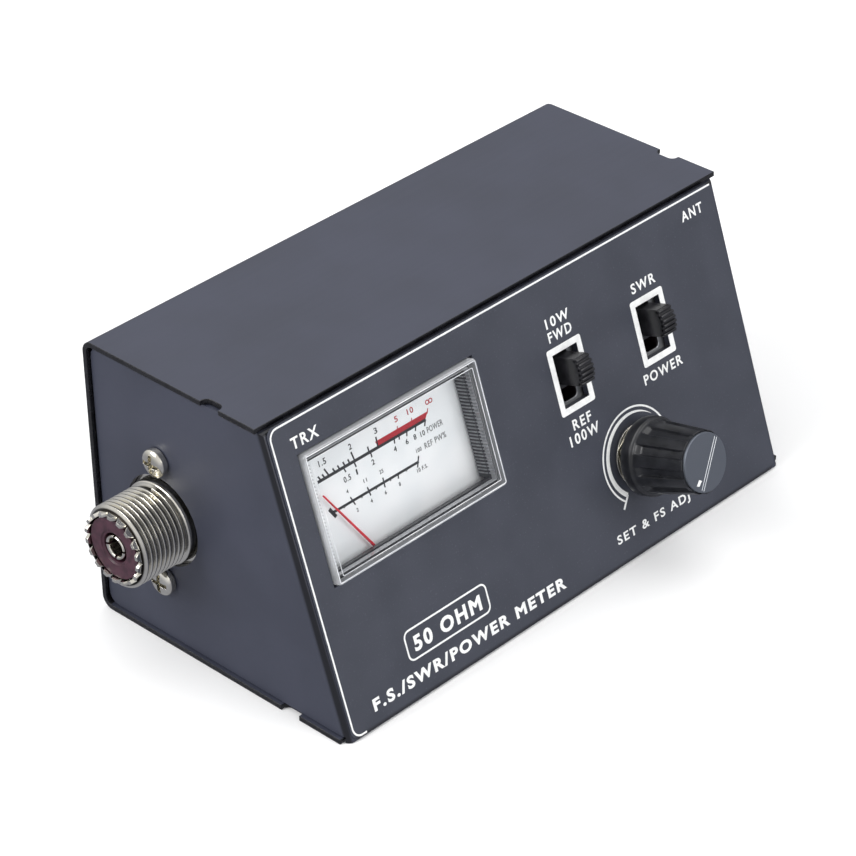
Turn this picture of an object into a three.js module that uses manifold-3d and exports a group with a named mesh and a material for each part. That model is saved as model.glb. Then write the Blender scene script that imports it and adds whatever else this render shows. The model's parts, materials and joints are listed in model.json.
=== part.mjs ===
// A table-top SWR and power meter for radio transceivers: a wedge-shaped sheet-steel case
// with a sloping front, a moving-coil meter, two slide switches, a set knob and a coaxial
// socket on each side. Millimetres, +Z up, +X to the right, the sloping front towards -Y.
// The origin is the middle of the flat underside.
import * as THREE from "three";
import { mergeVertices } from "three/addons/utils/BufferGeometryUtils.js";
import Module from "manifold-3d";

const wasm = await Module();
wasm.setup();

// ---------------------------------------------------------------- driving dimensions
const GAP = 0.2; // left between pieces that rest on each other
const SHEET = 1; // steel sheet of both halves of the case
const CASE = { width: 120, height: 57, depth: 62.4, lean: 18.4 }; // lean in degrees
const COVER = { bend: 2.4, topFront: -12.0, bottomFront: -29.8, rim: 0.8 };
const NOTCH = { width: 4.4, deep: 1.6, topY: -1, bottomY: -17.5 };
const CHASSIS = { bend: 1.5, foot: 0.1, flange: 8, rearFlange: 9, rearLow: 7, rearHigh: 50 };
const LABEL = { thick: 0.2, left: -58.2, right: 57.6, top: 1.0, bottom: 59.7, corner: 1.6 };
const CASE_SCREW = { head: 2.7, high: 1.6, shank: 1.3, long: 6, x: 53.6, z: [15, 42] };

const SOCKET = {
  y: 13.85, z: 26.3, long: 12.2, thread: 7.94, wall: 6.2, rearBore: 4.7, collar: 8.2,
  flangeThick: 1.5, flangeRound: 9.6, earRound: 3.6, screwPitch: 25.2, hole: 9, teeth: 18,
};
const SCREW = { head: 2.9, high: 1.7, shank: 1.45, long: 7.6, hole: 1.8 };
const NUT = { flats: 5.5, thick: 2.2 };
const BRACKET = { thick: 0.8, width: 8, reach: 12.6, top: 19.9 };

const METER = {
  x: -31.65, s: 20.05, width: 42.7, high: 24.6, proud: 1.5, wall: 1.4,
  caseSide: 1, caseFoot: 50, caseBack: -17.2, caseWall: 1.4, windowInset: 1.6, dialDepth: -4.1,
};
const STUD = { x: 8, up: 7, round: 1.2, flange: 2.4, foot: 19, tip: 22 }; // the meter's two terminals
const MOVEMENT = { x: -33.8, s: 41, needle: 26.7, restTurn: 31 };

const SWITCH = {
  x: [11.6, 34.5], s: 20.9, slotWide: 6.5, slotHigh: 10.7, travel: 3, capWide: 3.4, capHigh: 5.4,
  capTop: 4.3, crown: 0.9, bodyWide: 9.4, bodyHigh: 16, bodyBack: -7.2, guideWide: 3.8, guideHigh: 9.4,
};

const POT = { x: 22.95, s: 41.63, can: 8, canBack: -9.4, bush: 3.9, bushTop: 4.6, shaft: 3, shaftTop: 13.4 };
const KNOB = { foot: 3, skirt: 7.5, skirtTop: 5.3, base: 6.9, tip: 5.85, top: 17.1, flutes: 10 };
const CAP = { round: 5.6, thick: 1.2, top: 17.4 };
const BOARD = { width: 88, front: 5, back: 28.6, low: 20.1, thick: 1.6 };

// ---------------------------------------------------------------- shape helpers
const rad = THREE.MathUtils.degToRad;

/** Position-only geometry with shared corners merged and collapsed triangles dropped. */
function welded(source) {
  let geometry = source.clone();
  geometry.deleteAttribute("normal");
  geometry.deleteAttribute("uv");
  geometry = mergeVertices(geometry, 1e-4);
  const kept = [];
  const index = geometry.index.array;
  for (let i = 0; i < index.length; i += 3) {
    const [a, b, c] = index.subarray(i, i + 3);
    if (a !== b && b !== c && c !== a) kept.push(a, b, c);
  }
  geometry.setIndex(kept);
  return facingOut(geometry);
}

/** The same geometry with its triangles turned round if they enclose a negative volume. */
function facingOut(geometry) {
  const at = geometry.getAttribute("position");
  const index = geometry.index.array;
  const corner = [new THREE.Vector3(), new THREE.Vector3(), new THREE.Vector3()];
  let volume = 0;
  for (let i = 0; i < index.length; i += 3) {
    corner.forEach((point, k) => point.fromBufferAttribute(at, index[i + k]));
    volume += corner[0].dot(corner[1].cross(corner[2]));
  }
  if (volume < 0) {
    const turned = Array.from(index);
    for (let i = 0; i < turned.length; i += 3) {
      [turned[i], turned[i + 1]] = [turned[i + 1], turned[i]];
    }
    geometry.setIndex(turned);
  }
  return geometry;
}

function solidOf(source) {
  const geometry = welded(source);
  const vertProperties = new Float32Array(geometry.getAttribute("position").array);
  const triVerts = new Uint32Array(geometry.index.array);
  return new wasm.Manifold(new wasm.Mesh({ numProp: 3, vertProperties, triVerts }));
}

function geometryOf(solid) {
  const mesh = solid.getMesh();
  const geometry = new THREE.BufferGeometry();
  geometry.setAttribute("position", new THREE.BufferAttribute(mesh.vertProperties, 3));
  geometry.setIndex(Array.from(mesh.triVerts));
  return geometry;
}

function join(...pieces) {
  return geometryOf(pieces.map(solidOf).reduce((sum, next) => sum.add(next)));
}

function cut(base, ...tools) {
  return geometryOf(tools.map(solidOf).reduce((left, tool) => left.subtract(tool), solidOf(base)));
}

function common(first, second) {
  return geometryOf(solidOf(first).intersect(solidOf(second)));
}

/** A box between two corners. */
function block(low, high) {
  const size = high.map((value, k) => value - low[k]);
  const middle = high.map((value, k) => (value + low[k]) / 2);
  return new THREE.BoxGeometry(...size).translate(...middle);
}

/** A cylinder standing on z = low, along +Z. */
function rod(radius, low, high, x = 0, y = 0, sides = 16) {
  const round = new THREE.CylinderGeometry(radius, radius, high - low, sides);
  return round.rotateX(Math.PI / 2).translate(x, y, (low + high) / 2);
}

/** A turned solid about Z from [radius, z] points; closed on itself when it stays off the axis. */
function turned(points, sides = 32) {
  const profile = points.map(([radius, z]) => new THREE.Vector2(radius, z));
  const onAxis = points[0][0] === 0;
  if (!onAxis) profile.push(profile[0].clone());
  return new THREE.LatheGeometry(profile, sides).rotateX(Math.PI / 2);
}

function roundedRect(left, bottom, right, top, corner) {
  const shape = new THREE.Shape();
  shape.moveTo(left + corner, bottom);
  shape.lineTo(right - corner, bottom);
  shape.absarc(right - corner, bottom + corner, corner, -Math.PI / 2, 0, false);
  shape.lineTo(right, top - corner);
  shape.absarc(right - corner, top - corner, corner, 0, Math.PI / 2, false);
  shape.lineTo(left + corner, top);
  shape.absarc(left + corner, top - corner, corner, Math.PI / 2, Math.PI, false);
  shape.lineTo(left, bottom + corner);
  shape.absarc(left + corner, bottom + corner, corner, Math.PI, Math.PI * 1.5, false);
  return shape;
}

/** A flat shape in X and Y thickened from z = low to z = high. */
function plate(shape, low, high, curveSegments = 5) {
  const options = { depth: high - low, bevelEnabled: false, curveSegments };
  return new THREE.ExtrudeGeometry(shape, options).translate(0, 0, low);
}

/** A side-view shape in (y, z) thickened across X, from x = low to x = high. */
function sideProfile(shape, low, high, curveSegments = 5) {
  const options = { depth: high - low, bevelEnabled: false, curveSegments };
  const solid = new THREE.ExtrudeGeometry(shape, options).translate(0, 0, low);
  const toSide = new THREE.Matrix4().makeBasis(
    new THREE.Vector3(0, 1, 0), new THREE.Vector3(0, 0, 1), new THREE.Vector3(1, 0, 0));
  return solid.applyMatrix4(toSide);
}

function hexagon(flats, low, high, bore) {
  const nut = new THREE.CylinderGeometry(flats / Math.sqrt(3), flats / Math.sqrt(3), high - low, 6);
  nut.rotateX(Math.PI / 2).translate(0, 0, (low + high) / 2);
  return cut(nut, rod(bore, low - 1, high + 1));
}

/** A round wire or lead of the given radius through a list of points. */
function lead(points, radius) {
  const curve = new THREE.CatmullRomCurve3(points.map((point) => new THREE.Vector3(...point)));
  const section = new THREE.Shape();
  section.absarc(0, 0, radius, 0, Math.PI * 2, false);
  const options = { steps: 10, extrudePath: curve, curveSegments: 4, bevelEnabled: false };
  return new THREE.ExtrudeGeometry(section, options);
}

// ---------------------------------------------------------------- finishes
function finish(color, roughness, metalness, extra = {}) {
  return new THREE.MeshStandardMaterial({ color, roughness, metalness, ...extra });
}

const FINISH = {
  coat: finish(0x2a2b30, 0.55, 0.2),
  label: finish(0x2f3136, 0.5, 0),
  nickel: finish(0xc9c6bd, 0.28, 1),
  steel: finish(0x9a9c9e, 0.4, 1),
  phenolic: finish(0x5a2a2c, 0.5, 0),
  clear: finish(0xeef2f4, 0.08, 0, { transparent: true, opacity: 0.3 }),
  blackPlastic: finish(0x121315, 0.45, 0),
  dial: finish(0xf1f3f2, 0.6, 0),
  magnet: finish(0x55575a, 0.5, 0.8),
  brass: finish(0xb08d4a, 0.35, 1),
  copper: finish(0xa8623a, 0.4, 1),
  needle: finish(0xc2182b, 0.4, 0),
  knob: finish(0x101113, 0.42, 0),
  cap: finish(0x3a3d43, 0.35, 0.6),
  board: finish(0x6f7a3a, 0.55, 0),
  boardPart: finish(0xb99a6a, 0.5, 0),
  glass: finish(0xc96a3a, 0.15, 0),
  wireRed: finish(0xb3261e, 0.5, 0),
  wireBlack: finish(0x17181a, 0.5, 0),
};

const meter = new THREE.Group();

function add(group, name, geometry, material) {
  const mesh = new THREE.Mesh(welded(geometry), material);
  mesh.name = name;
  group.add(mesh);
  return mesh;
}

// ---------------------------------------------------------------- frames
const HALF_DEPTH = CASE.depth / 2;
const HALF_WIDTH = CASE.width / 2;
const FRONT_TOP_Y = -HALF_DEPTH + CASE.height * Math.tan(rad(CASE.lean));
const SIDE_X = HALF_WIDTH - COVER.rim; // outer face of each side panel

/** The front panel's own frame: +X right, +Y up the slope from its top edge, +Z outward. */
const panel = new THREE.Group();
panel.position.set(0, FRONT_TOP_Y, CASE.height);
panel.rotation.x = rad(90 - CASE.lean);
meter.add(panel);

/** A geometry made in the panel's frame, moved to the case's frame. */
function fromPanel(geometry) {
  panel.updateMatrix();
  return geometry.clone().applyMatrix4(panel.matrix);
}

// ---------------------------------------------------------------- case
function makeCover() {
  const shape = new THREE.Shape();
  const inner = COVER.bend - SHEET;
  shape.moveTo(COVER.topFront, CASE.height);
  shape.lineTo(HALF_DEPTH - COVER.bend, CASE.height);
  shape.absarc(HALF_DEPTH - COVER.bend, CASE.height - COVER.bend, COVER.bend, Math.PI / 2, 0, true);
  shape.lineTo(HALF_DEPTH, COVER.bend);
  shape.absarc(HALF_DEPTH - COVER.bend, COVER.bend, COVER.bend, 0, -Math.PI / 2, true);
  shape.lineTo(COVER.bottomFront, 0);
  shape.lineTo(COVER.bottomFront, SHEET);
  shape.lineTo(HALF_DEPTH - COVER.bend, SHEET);
  shape.absarc(HALF_DEPTH - COVER.bend, COVER.bend, inner, -Math.PI / 2, 0, false);
  shape.lineTo(HALF_DEPTH - SHEET, CASE.height - COVER.bend);
  shape.absarc(HALF_DEPTH - COVER.bend, CASE.height - COVER.bend, inner, 0, Math.PI / 2, false);
  shape.lineTo(COVER.topFront, CASE.height - SHEET);
  shape.closePath();
  const sheet = sideProfile(shape, -HALF_WIDTH, HALF_WIDTH, 6);
  const tools = [];
  for (const side of [-1, 1]) {
    for (const [y, z] of [[NOTCH.topY, CASE.height - SHEET / 2], [NOTCH.bottomY, SHEET / 2]]) {
      const round = NOTCH.width / 2;
      const slot = roundedRect(-NOTCH.deep, -round, NOTCH.deep, round, 1.2);
      tools.push(plate(slot, z - SHEET, z + SHEET, 4).translate(side * HALF_WIDTH, y, 0));
    }
    for (const z of CASE_SCREW.z) {
      const hole = rod(CASE_SCREW.shank + 0.3, -3, 3, 0, 0, 12).rotateX(Math.PI / 2);
      tools.push(hole.translate(side * CASE_SCREW.x, HALF_DEPTH - SHEET / 2, z));
    }
  }
  return cut(sheet, ...tools);
}

/** The chassis as a solid block, shrunk by a margin on its front, sides, top and bottom. */
function chassisBlock(margin) {
  const across = SIDE_X - margin;
  const bend = CHASSIS.bend - margin;
  const channel = new THREE.Shape();
  channel.moveTo(-across, 80);
  channel.lineTo(-across, bend + margin);
  channel.absarc(-across + bend, bend + margin, bend, Math.PI, Math.PI * 1.5, false);
  channel.lineTo(across - bend, margin);
  channel.absarc(across - bend, bend + margin, bend, Math.PI * 1.5, Math.PI * 2, false);
  channel.lineTo(across, 80);
  channel.closePath();
  const long = new THREE.ExtrudeGeometry(channel, { depth: 120, bevelEnabled: false, curveSegments: 5 });
  const wrapped = fromPanel(long.rotateX(-Math.PI / 2).translate(0, -90, 0));

  const low = SHEET + GAP + margin;
  const high = CASE.height - SHEET - GAP - margin;
  const rear = margin > 0 ? 80 : HALF_DEPTH - SHEET - GAP;
  const slope = Math.tan(rad(CASE.lean));
  const frontAt = (z) => -HALF_DEPTH + z * slope + margin / Math.cos(rad(CASE.lean));
  const profile = new THREE.Shape();
  const reach = bend * 1.1;
  profile.moveTo(rear - COVER.bend, low);
  profile.quadraticCurveTo(rear, low, rear, low + COVER.bend);
  profile.lineTo(rear, high - COVER.bend);
  profile.quadraticCurveTo(rear, high, rear - COVER.bend, high);
  profile.lineTo(frontAt(high) + reach, high);
  profile.quadraticCurveTo(frontAt(high), high, frontAt(high - reach), high - reach);
  if (margin > 0) {
    profile.lineTo(frontAt(low + reach), low + reach);
    profile.quadraticCurveTo(frontAt(low), low, frontAt(low) + reach, low);
  } else { // the front panel hangs down in front of the cover's bottom
    profile.lineTo(frontAt(CHASSIS.foot), CHASSIS.foot);
    profile.lineTo(frontAt(CHASSIS.foot) + SHEET, CHASSIS.foot);
    profile.lineTo(frontAt(CHASSIS.foot) + SHEET, low);
  }
  profile.closePath();
  return common(wrapped, sideProfile(profile, -HALF_WIDTH, HALF_WIDTH, 4));
}

/** Openings through the front panel and its label, all a little past both faces. */
function panelOpenings() {
  const low = -3;
  const high = 3;
  const openings = [];
  const windowWide = METER.width / 2 + GAP;
  const windowHigh = METER.high / 2 + GAP;
  openings.push(block([METER.x - windowWide, -METER.s - windowHigh, low],
    [METER.x + windowWide, -METER.s + windowHigh, high]));
  for (const x of SWITCH.x) {
    const wide = SWITCH.slotWide / 2;
    const tall = SWITCH.slotHigh / 2;
    const slot = roundedRect(x - wide, -SWITCH.s - tall, x + wide, -SWITCH.s + tall, 0.5);
    openings.push(plate(slot, low, high));
  }
  openings.push(rod(POT.bush + 0.25, low, high, POT.x, -POT.s, 20));
  return openings;
}

function makeChassis() {
  const shell = cut(chassisBlock(0), chassisBlock(SHEET));
  const inside = SIDE_X - SHEET;
  const topBack = FRONT_TOP_Y + CHASSIS.flange;
  const bottomBack = -HALF_DEPTH + CHASSIS.flange;
  const tools = [
    block([-inside, topBack, CASE.height - 6], [inside, 90, CASE.height + 1]),
    block([-inside, bottomBack, -1], [inside, 90, 5]),
    ...panelOpenings().map(fromPanel),
  ];
  for (const side of [-1, 1]) {
    const along = (geometry) => geometry.rotateY(Math.PI / 2).translate(side * SIDE_X, SOCKET.y, SOCKET.z);
    tools.push(along(rod(SOCKET.hole, -3, 3, 0, 0, 28)));
    for (const up of [-1, 1]) {
      tools.push(along(rod(SCREW.hole, -3, 3, up * SOCKET.screwPitch / 2, 0)));
    }
  }
  const rear = HALF_DEPTH - SHEET - GAP;
  const flanges = [-1, 1].map((side) => {
    const edge = [side * (SIDE_X - SHEET / 2), side * (SIDE_X - CHASSIS.rearFlange)].sort((a, b) => a - b);
    const strip = block([edge[0], rear - SHEET, CHASSIS.rearLow], [edge[1], rear, CHASSIS.rearHigh]);
    const holes = CASE_SCREW.z.map((z) => {
      const hole = rod(CASE_SCREW.shank + 0.2, -3, 3, 0, 0, 12).rotateX(Math.PI / 2);
      return hole.translate(side * CASE_SCREW.x, rear, z);
    });
    return cut(strip, ...holes);
  });
  return join(cut(shell, ...tools), ...flanges);
}

function makeLabel() {
  const sheet = plate(roundedRect(LABEL.left, -LABEL.bottom, LABEL.right, -LABEL.top, LABEL.corner),
    0.1, 0.1 + LABEL.thick, 4);
  return cut(sheet, ...panelOpenings());
}

/** A pan-head screw along -Z with its head standing on z = 0 and a cross recess. */
function panScrew(size) {
  const { head, high, shank, long } = size;
  const body = turned([
    [0, -long], [shank, -long], [shank, 0], [head, 0], [head, high * 0.35], [head * 0.86, high * 0.75],
    [head * 0.5, high], [0, high],
  ], 12);
  const arm = head * 0.55;
  const half = head * 0.13;
  return cut(body,
    block([-arm, -half, high * 0.45], [arm, half, high + 1]),
    block([-half, -arm, high * 0.45], [half, arm, high + 1]));
}

function buildCase() {
  add(meter, "case_cover", makeCover(), FINISH.coat);
  add(meter, "case_chassis", makeChassis(), FINISH.coat);
  add(panel, "front_label", makeLabel(), FINISH.label);
  let count = 0;
  for (const side of [-1, 1]) {
    for (const z of CASE_SCREW.z) {
      count += 1;
      const screw = add(meter, `case_screw_${count}`, panScrew(CASE_SCREW), FINISH.steel);
      screw.rotation.x = -Math.PI / 2;
      screw.position.set(side * CASE_SCREW.x, HALF_DEPTH + GAP, z);
    }
  }
}

// ---------------------------------------------------------------- coaxial sockets
const FLANGE_FACE = -SHEET - GAP; // front of the flange, behind the side panel
const FLANGE_REAR = FLANGE_FACE - SOCKET.flangeThick;

function socketShell() {
  const { thread, wall, collar, long, rearBore } = SOCKET;
  const barrel = turned([
    [wall, long], [wall, 0.8], [rearBore, 0.8], [rearBore, FLANGE_REAR - 2],
    [rearBore + 1.1, FLANGE_REAR - 2], [rearBore + 1.1, FLANGE_REAR + 0.3],
    [collar, FLANGE_REAR + 0.3], [collar, 1.2], [thread, 1.5],
    [thread, long - 0.7], [thread - 0.6, long],
  ], 36);
  const ends = [-SOCKET.screwPitch / 2, SOCKET.screwPitch / 2];
  const ears = ends.map((x) => rod(SOCKET.earRound, FLANGE_REAR, FLANGE_FACE, x));
  const web = ends.map((x) => {
    const shape = new THREE.Shape([
      new THREE.Vector2(0, -SOCKET.flangeRound * 0.98), new THREE.Vector2(x, -SOCKET.earRound * 0.95),
      new THREE.Vector2(x, SOCKET.earRound * 0.95), new THREE.Vector2(0, SOCKET.flangeRound * 0.98),
    ]);
    return plate(shape, FLANGE_REAR, FLANGE_FACE);
  });
  const round = rod(SOCKET.flangeRound, FLANGE_REAR, FLANGE_FACE, 0, 0, 24);
  const bore = rod(rearBore + 0.5, FLANGE_REAR - 1, FLANGE_FACE + 1, 0, 0, 18);
  const screwHoles = ends.map((x) => rod(SCREW.hole, FLANGE_REAR - 1, FLANGE_FACE + 1, x));
  const flange = cut(join(round, ...ears, ...web), bore, ...screwHoles);
  const notch = Math.PI * wall / SOCKET.teeth * 0.95;
  const notches = Array.from({ length: SOCKET.teeth }, (_, k) => {
    const tooth = block([wall - 1, -notch / 2, long - 0.8], [thread + 1, notch / 2, long + 1]);
    return tooth.rotateZ((k + 0.5) * 2 * Math.PI / SOCKET.teeth);
  });
  return cut(join(barrel, flange), ...notches);
}

function socketInsulator() {
  const outer = SOCKET.wall - GAP;
  const rear = SOCKET.rearBore - GAP;
  return turned([
    [2.8, SOCKET.long - 0.7], [2.8, FLANGE_REAR - 3], [rear, FLANGE_REAR - 3], [rear, 1],
    [outer, 1], [outer, SOCKET.long - 0.7],
  ], 20);
}

function socketContact() {
  return turned([
    [0, SOCKET.long - 9], [2, SOCKET.long - 9], [2, SOCKET.long - 1.1], [2.3, SOCKET.long - 0.7],
    [2.6, SOCKET.long - 0.9], [2.6, FLANGE_REAR - 4], [1.6, FLANGE_REAR - 4.4], [1.6, FLANGE_REAR - 10],
    [0, FLANGE_REAR - 10],
  ], 12);
}

/** The bracket that the lower socket screw holds, carrying the end of the circuit board. */
function boardBracket(side) {
  const face = SIDE_X + FLANGE_REAR - GAP;
  const inner = face - BRACKET.thick;
  const foot = SOCKET.z - SOCKET.screwPitch / 2;
  const half = BRACKET.width / 2;
  const upright = block([inner, SOCKET.y - half, foot - 4], [face, SOCKET.y + half, BRACKET.top]);
  const arm = block([face - BRACKET.reach, SOCKET.y - half, BRACKET.top - BRACKET.thick],
    [face, SOCKET.y + half, BRACKET.top]);
  const hole = rod(SCREW.hole, -3, 3).rotateY(Math.PI / 2).translate(face, SOCKET.y, foot);
  const bracket = cut(join(upright, arm), hole);
  return side > 0 ? bracket : bracket.scale(-1, 1, 1);
}

function buildSocket(prefix, side) {
  const frame = new THREE.Group();
  frame.position.set(side * SIDE_X, SOCKET.y, SOCKET.z);
  frame.rotation.y = side * Math.PI / 2;
  meter.add(frame);
  add(frame, `${prefix}_socket_shell`, socketShell(), FINISH.nickel);
  add(frame, `${prefix}_socket_insulator`, socketInsulator(), FINISH.phenolic);
  add(frame, `${prefix}_socket_contact`, socketContact(), FINISH.nickel);
  for (const [place, up] of [["upper", 1], ["lower", -1]]) {
    const offset = -side * up * SOCKET.screwPitch / 2;
    const screw = add(frame, `${prefix}_screw_${place}`, panScrew(SCREW), FINISH.nickel);
    screw.position.set(offset, 0, GAP);
    const top = up > 0 ? FLANGE_REAR - GAP : FLANGE_REAR - GAP - BRACKET.thick - GAP;
    const hexNut = hexagon(NUT.flats, top - NUT.thick, top, SCREW.hole);
    const nut = add(frame, `${prefix}_nut_${place}`, hexNut, FINISH.steel);
    nut.position.x = offset;
  }
  add(meter, `${prefix}_board_bracket`, boardBracket(side), FINISH.steel);
}

// ---------------------------------------------------------------- moving-coil meter
const METER_BOX = {
  left: METER.x - METER.width / 2, right: METER.x + METER.width / 2,
  top: -METER.s + METER.high / 2, bottom: -METER.s - METER.high / 2,
};
const CASE_FRONT = -SHEET - GAP;

function meterWindow() {
  const { left, right, top, bottom } = METER_BOX;
  const bevel = 0.5;
  const shape = roundedRect(left + bevel, bottom + bevel, right - bevel, top - bevel, 0.4);
  const options = { depth: 4, bevelThickness: bevel, bevelSize: bevel, bevelSegments: 2, curveSegments: 3 };
  const body = new THREE.ExtrudeGeometry(shape, options).translate(0, 0, METER.proud - bevel - 4);
  const wall = METER.wall;
  return cut(body,
    block([left - 1, bottom - 1, -9], [right + 1, top + 1, -SHEET]),
    block([left + wall, bottom + wall, -9], [right - wall, top - wall, METER.proud - 1.1]));
}

function meterCase() {
  const { left, right, top, bottom } = METER_BOX;
  const { caseSide: side, caseWall: wall, caseFoot: foot, caseBack: back, windowInset: inset } = METER;
  const lip = 1.2; // thickness of the short walls between the front and the scale plate
  const outer = block([left - side, -foot, back], [right + side, top + side, CASE_FRONT]);
  const inner = block([left - side + wall, -foot + wall, back - 1],
    [right + side - wall, top + side - wall, CASE_FRONT - 1]);
  const sight = { left: left + inset, right: right - inset, top: top - inset, bottom: bottom + inset };
  const light = block([sight.left, sight.bottom, -5], [sight.right, sight.top, 0]);
  const deep = METER.dialDepth + GAP;
  const near = CASE_FRONT - 0.5;
  const lips = [
    block([sight.left - lip, sight.bottom, deep], [sight.left, sight.top + lip, near]),
    block([sight.right, sight.bottom, deep], [sight.right + lip, sight.top + lip, near]),
    block([sight.left - lip, sight.top, deep], [sight.right + lip, sight.top + lip, near]),
  ];
  return join(cut(outer, inner, light), ...lips);
}

function meterBack() {
  const { left, right, top } = METER_BOX;
  const side = METER.caseSide;
  const low = METER.caseBack - GAP - 1.4;
  const sheet = block([left - side, -METER.caseFoot, low], [right + side, top + side, METER.caseBack - GAP]);
  const holes = [-STUD.x, STUD.x].map((x) => rod(1.5, low - 1, 0, METER.x + x, -METER.caseFoot + STUD.up));
  return cut(sheet, ...holes);
}

function dialPlate() {
  const { left, right, top } = METER_BOX;
  const margin = METER.caseWall - METER.caseSide + GAP;
  const low = METER.dialDepth - 0.5;
  const sheet = block([left + margin, -37, low], [right - margin, top - margin, METER.dialDepth]);
  return cut(sheet, rod(3.2, low - 1, 0, MOVEMENT.x, -MOVEMENT.s + 3.4, 20));
}

/** A flat bar across the movement with a leg at each end, from the yoke to the pivot. */
function bridge(barLow, barHigh, legTip) {
  const bar = block([-7, -1.6, barLow], [7, 1.6, barHigh]);
  const legs = [-1, 1].map((side) => {
    const edge = [side * 5.8, side * 7].sort((a, b) => a - b);
    return block([edge[0], -1.6, Math.min(barLow, legTip)], [edge[1], 1.6, Math.max(barHigh, legTip)]);
  });
  return cut(join(bar, ...legs), rod(0.7, barLow - 1, barHigh + 1, 0, 0, 12));
}

function movingCoil() {
  const loop = cut(block([-0.9, -4.9, -15], [0.9, 4.9, -7]), block([-2, -3.8, -14.2], [2, 3.8, -7.8]));
  return join(loop, rod(0.4, -7.4, -2.9, 0, 0, 10), rod(0.4, -16.2, -14.6, 0, 0, 10));
}

function pointer() {
  const blade = new THREE.Shape([
    new THREE.Vector2(-0.3, 0), new THREE.Vector2(0.3, 0),
    new THREE.Vector2(0.14, MOVEMENT.needle), new THREE.Vector2(-0.14, MOVEMENT.needle),
  ]);
  const tail = block([-0.8, -5, -3.3], [0.8, 0, -3]);
  const hub = rod(1.3, -4.6, -3, 0, 0, 14);
  return cut(join(plate(blade, -3.3, -3), tail, hub), rod(0.55, -5, -2, 0, 0, 12));
}

function hairspring() {
  const points = Array.from({ length: 37 }, (_, k) => {
    const turn = k * Math.PI / 7;
    const radius = 1.1 + k * 0.05;
    return [radius * Math.cos(turn), radius * Math.sin(turn), -6.4];
  });
  const curve = new THREE.CatmullRomCurve3(points.map((point) => new THREE.Vector3(...point)));
  const section = new THREE.Shape([
    new THREE.Vector2(-0.07, -0.12), new THREE.Vector2(0.07, -0.12),
    new THREE.Vector2(0.07, 0.12), new THREE.Vector2(-0.07, 0.12),
  ]);
  return new THREE.ExtrudeGeometry(section, { steps: 44, extrudePath: curve, bevelEnabled: false });
}

function buildMeter() {
  add(panel, "meter_window", meterWindow(), FINISH.clear);
  add(panel, "meter_case", meterCase(), FINISH.blackPlastic);
  add(panel, "meter_back", meterBack(), FINISH.blackPlastic);
  add(panel, "meter_dial", dialPlate(), FINISH.dial);
  const { tip, round, flange, foot } = STUD;
  for (const [name, x] of [["left", -STUD.x], ["right", STUD.x]]) {
    const stud = turned([
      [0, -tip], [round, -tip], [round, -foot], [flange, -foot], [flange, GAP - foot], [0, GAP - foot],
    ], 12);
    const terminal = add(panel, `meter_terminal_${name}`, stud, FINISH.brass);
    terminal.position.set(METER.x + x, -METER.caseFoot + STUD.up, -GAP);
  }
  const movement = new THREE.Group();
  movement.position.set(MOVEMENT.x, -MOVEMENT.s, 0);
  panel.add(movement);
  const yoke = turned([[5.6, -14], [7.2, -14], [7.2, -8], [5.6, -8]], 28);
  const magnet = join(rod(3.2, -13.8, -8.2, 0, 0, 24), block([-5.3, -0.8, -11.6], [5.3, 0.8, -10.4]));
  add(movement, "meter_yoke", yoke, FINISH.steel);
  add(movement, "meter_magnet", magnet, FINISH.magnet);
  add(movement, "meter_bridge_front", bridge(-5.8, -5.2, -7.8), FINISH.brass);
  add(movement, "meter_bridge_rear", bridge(-16, -15.4, -14.2), FINISH.brass);
  add(movement, "meter_hairspring", hairspring(), FINISH.brass);
  const swinging = new THREE.Group();
  swinging.rotation.z = rad(MOVEMENT.restTurn);
  movement.add(swinging);
  add(swinging, "meter_coil", movingCoil(), FINISH.copper);
  add(swinging, "meter_pointer", pointer(), FINISH.needle);
}

// ---------------------------------------------------------------- slide switches
function switchFrame() {
  const wide = SWITCH.bodyWide / 2;
  const tall = SWITCH.bodyHigh / 2;
  const wall = 0.6;
  const guide = roundedRect(-SWITCH.guideWide / 2, -SWITCH.guideHigh / 2,
    SWITCH.guideWide / 2, SWITCH.guideHigh / 2, 0.9);
  return cut(block([-wide, -tall, SWITCH.bodyBack], [wide, tall, CASE_FRONT]),
    block([-wide + wall, -tall + wall, SWITCH.bodyBack - 1], [wide - wall, tall - wall, CASE_FRONT - wall]),
    plate(guide, -6, 0, 4));
}

function switchBase() {
  const wide = SWITCH.bodyWide / 2;
  const tall = SWITCH.bodyHigh / 2;
  const top = SWITCH.bodyBack - GAP;
  const pins = [];
  for (const x of [-2.4, 2.4]) {
    for (const y of [-4.4, 0, 4.4]) {
      pins.push(block([x - 0.5, y - 0.2, top - 5], [x + 0.5, y + 0.2, top - 0.5]));
    }
  }
  return join(block([-wide, -tall, top - 1.2], [wide, tall, top]), ...pins);
}

/** The slider: a shuttle inside the frame and a cap whose crowned top has ribs across it. */
function switchSlider() {
  const wide = SWITCH.capWide / 2;
  const tall = SWITCH.capHigh / 2;
  const crown = new THREE.Shape();
  crown.moveTo(-tall, -2);
  crown.lineTo(tall, -2);
  crown.lineTo(tall, SWITCH.capTop);
  crown.quadraticCurveTo(0, SWITCH.capTop + 2 * SWITCH.crown, -tall, SWITCH.capTop);
  crown.closePath();
  const cap = sideProfile(crown, -wide, wide, 8);
  const ribs = 6;
  const pitch = SWITCH.capHigh / ribs;
  const grooves = Array.from({ length: ribs - 1 }, (_, k) => {
    const y = -tall + (k + 1) * pitch;
    const low = SWITCH.capTop + SWITCH.crown * (1 - (y / tall) ** 2) - 0.35;
    return block([-wide - 1, y - 0.16, low], [wide + 1, y + 0.16, 9]);
  });
  const shuttle = block([-3.6, -4, -6.9], [3.6, 4, CASE_FRONT - 0.6 - GAP]);
  return cut(join(cap, shuttle), ...grooves);
}

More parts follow.
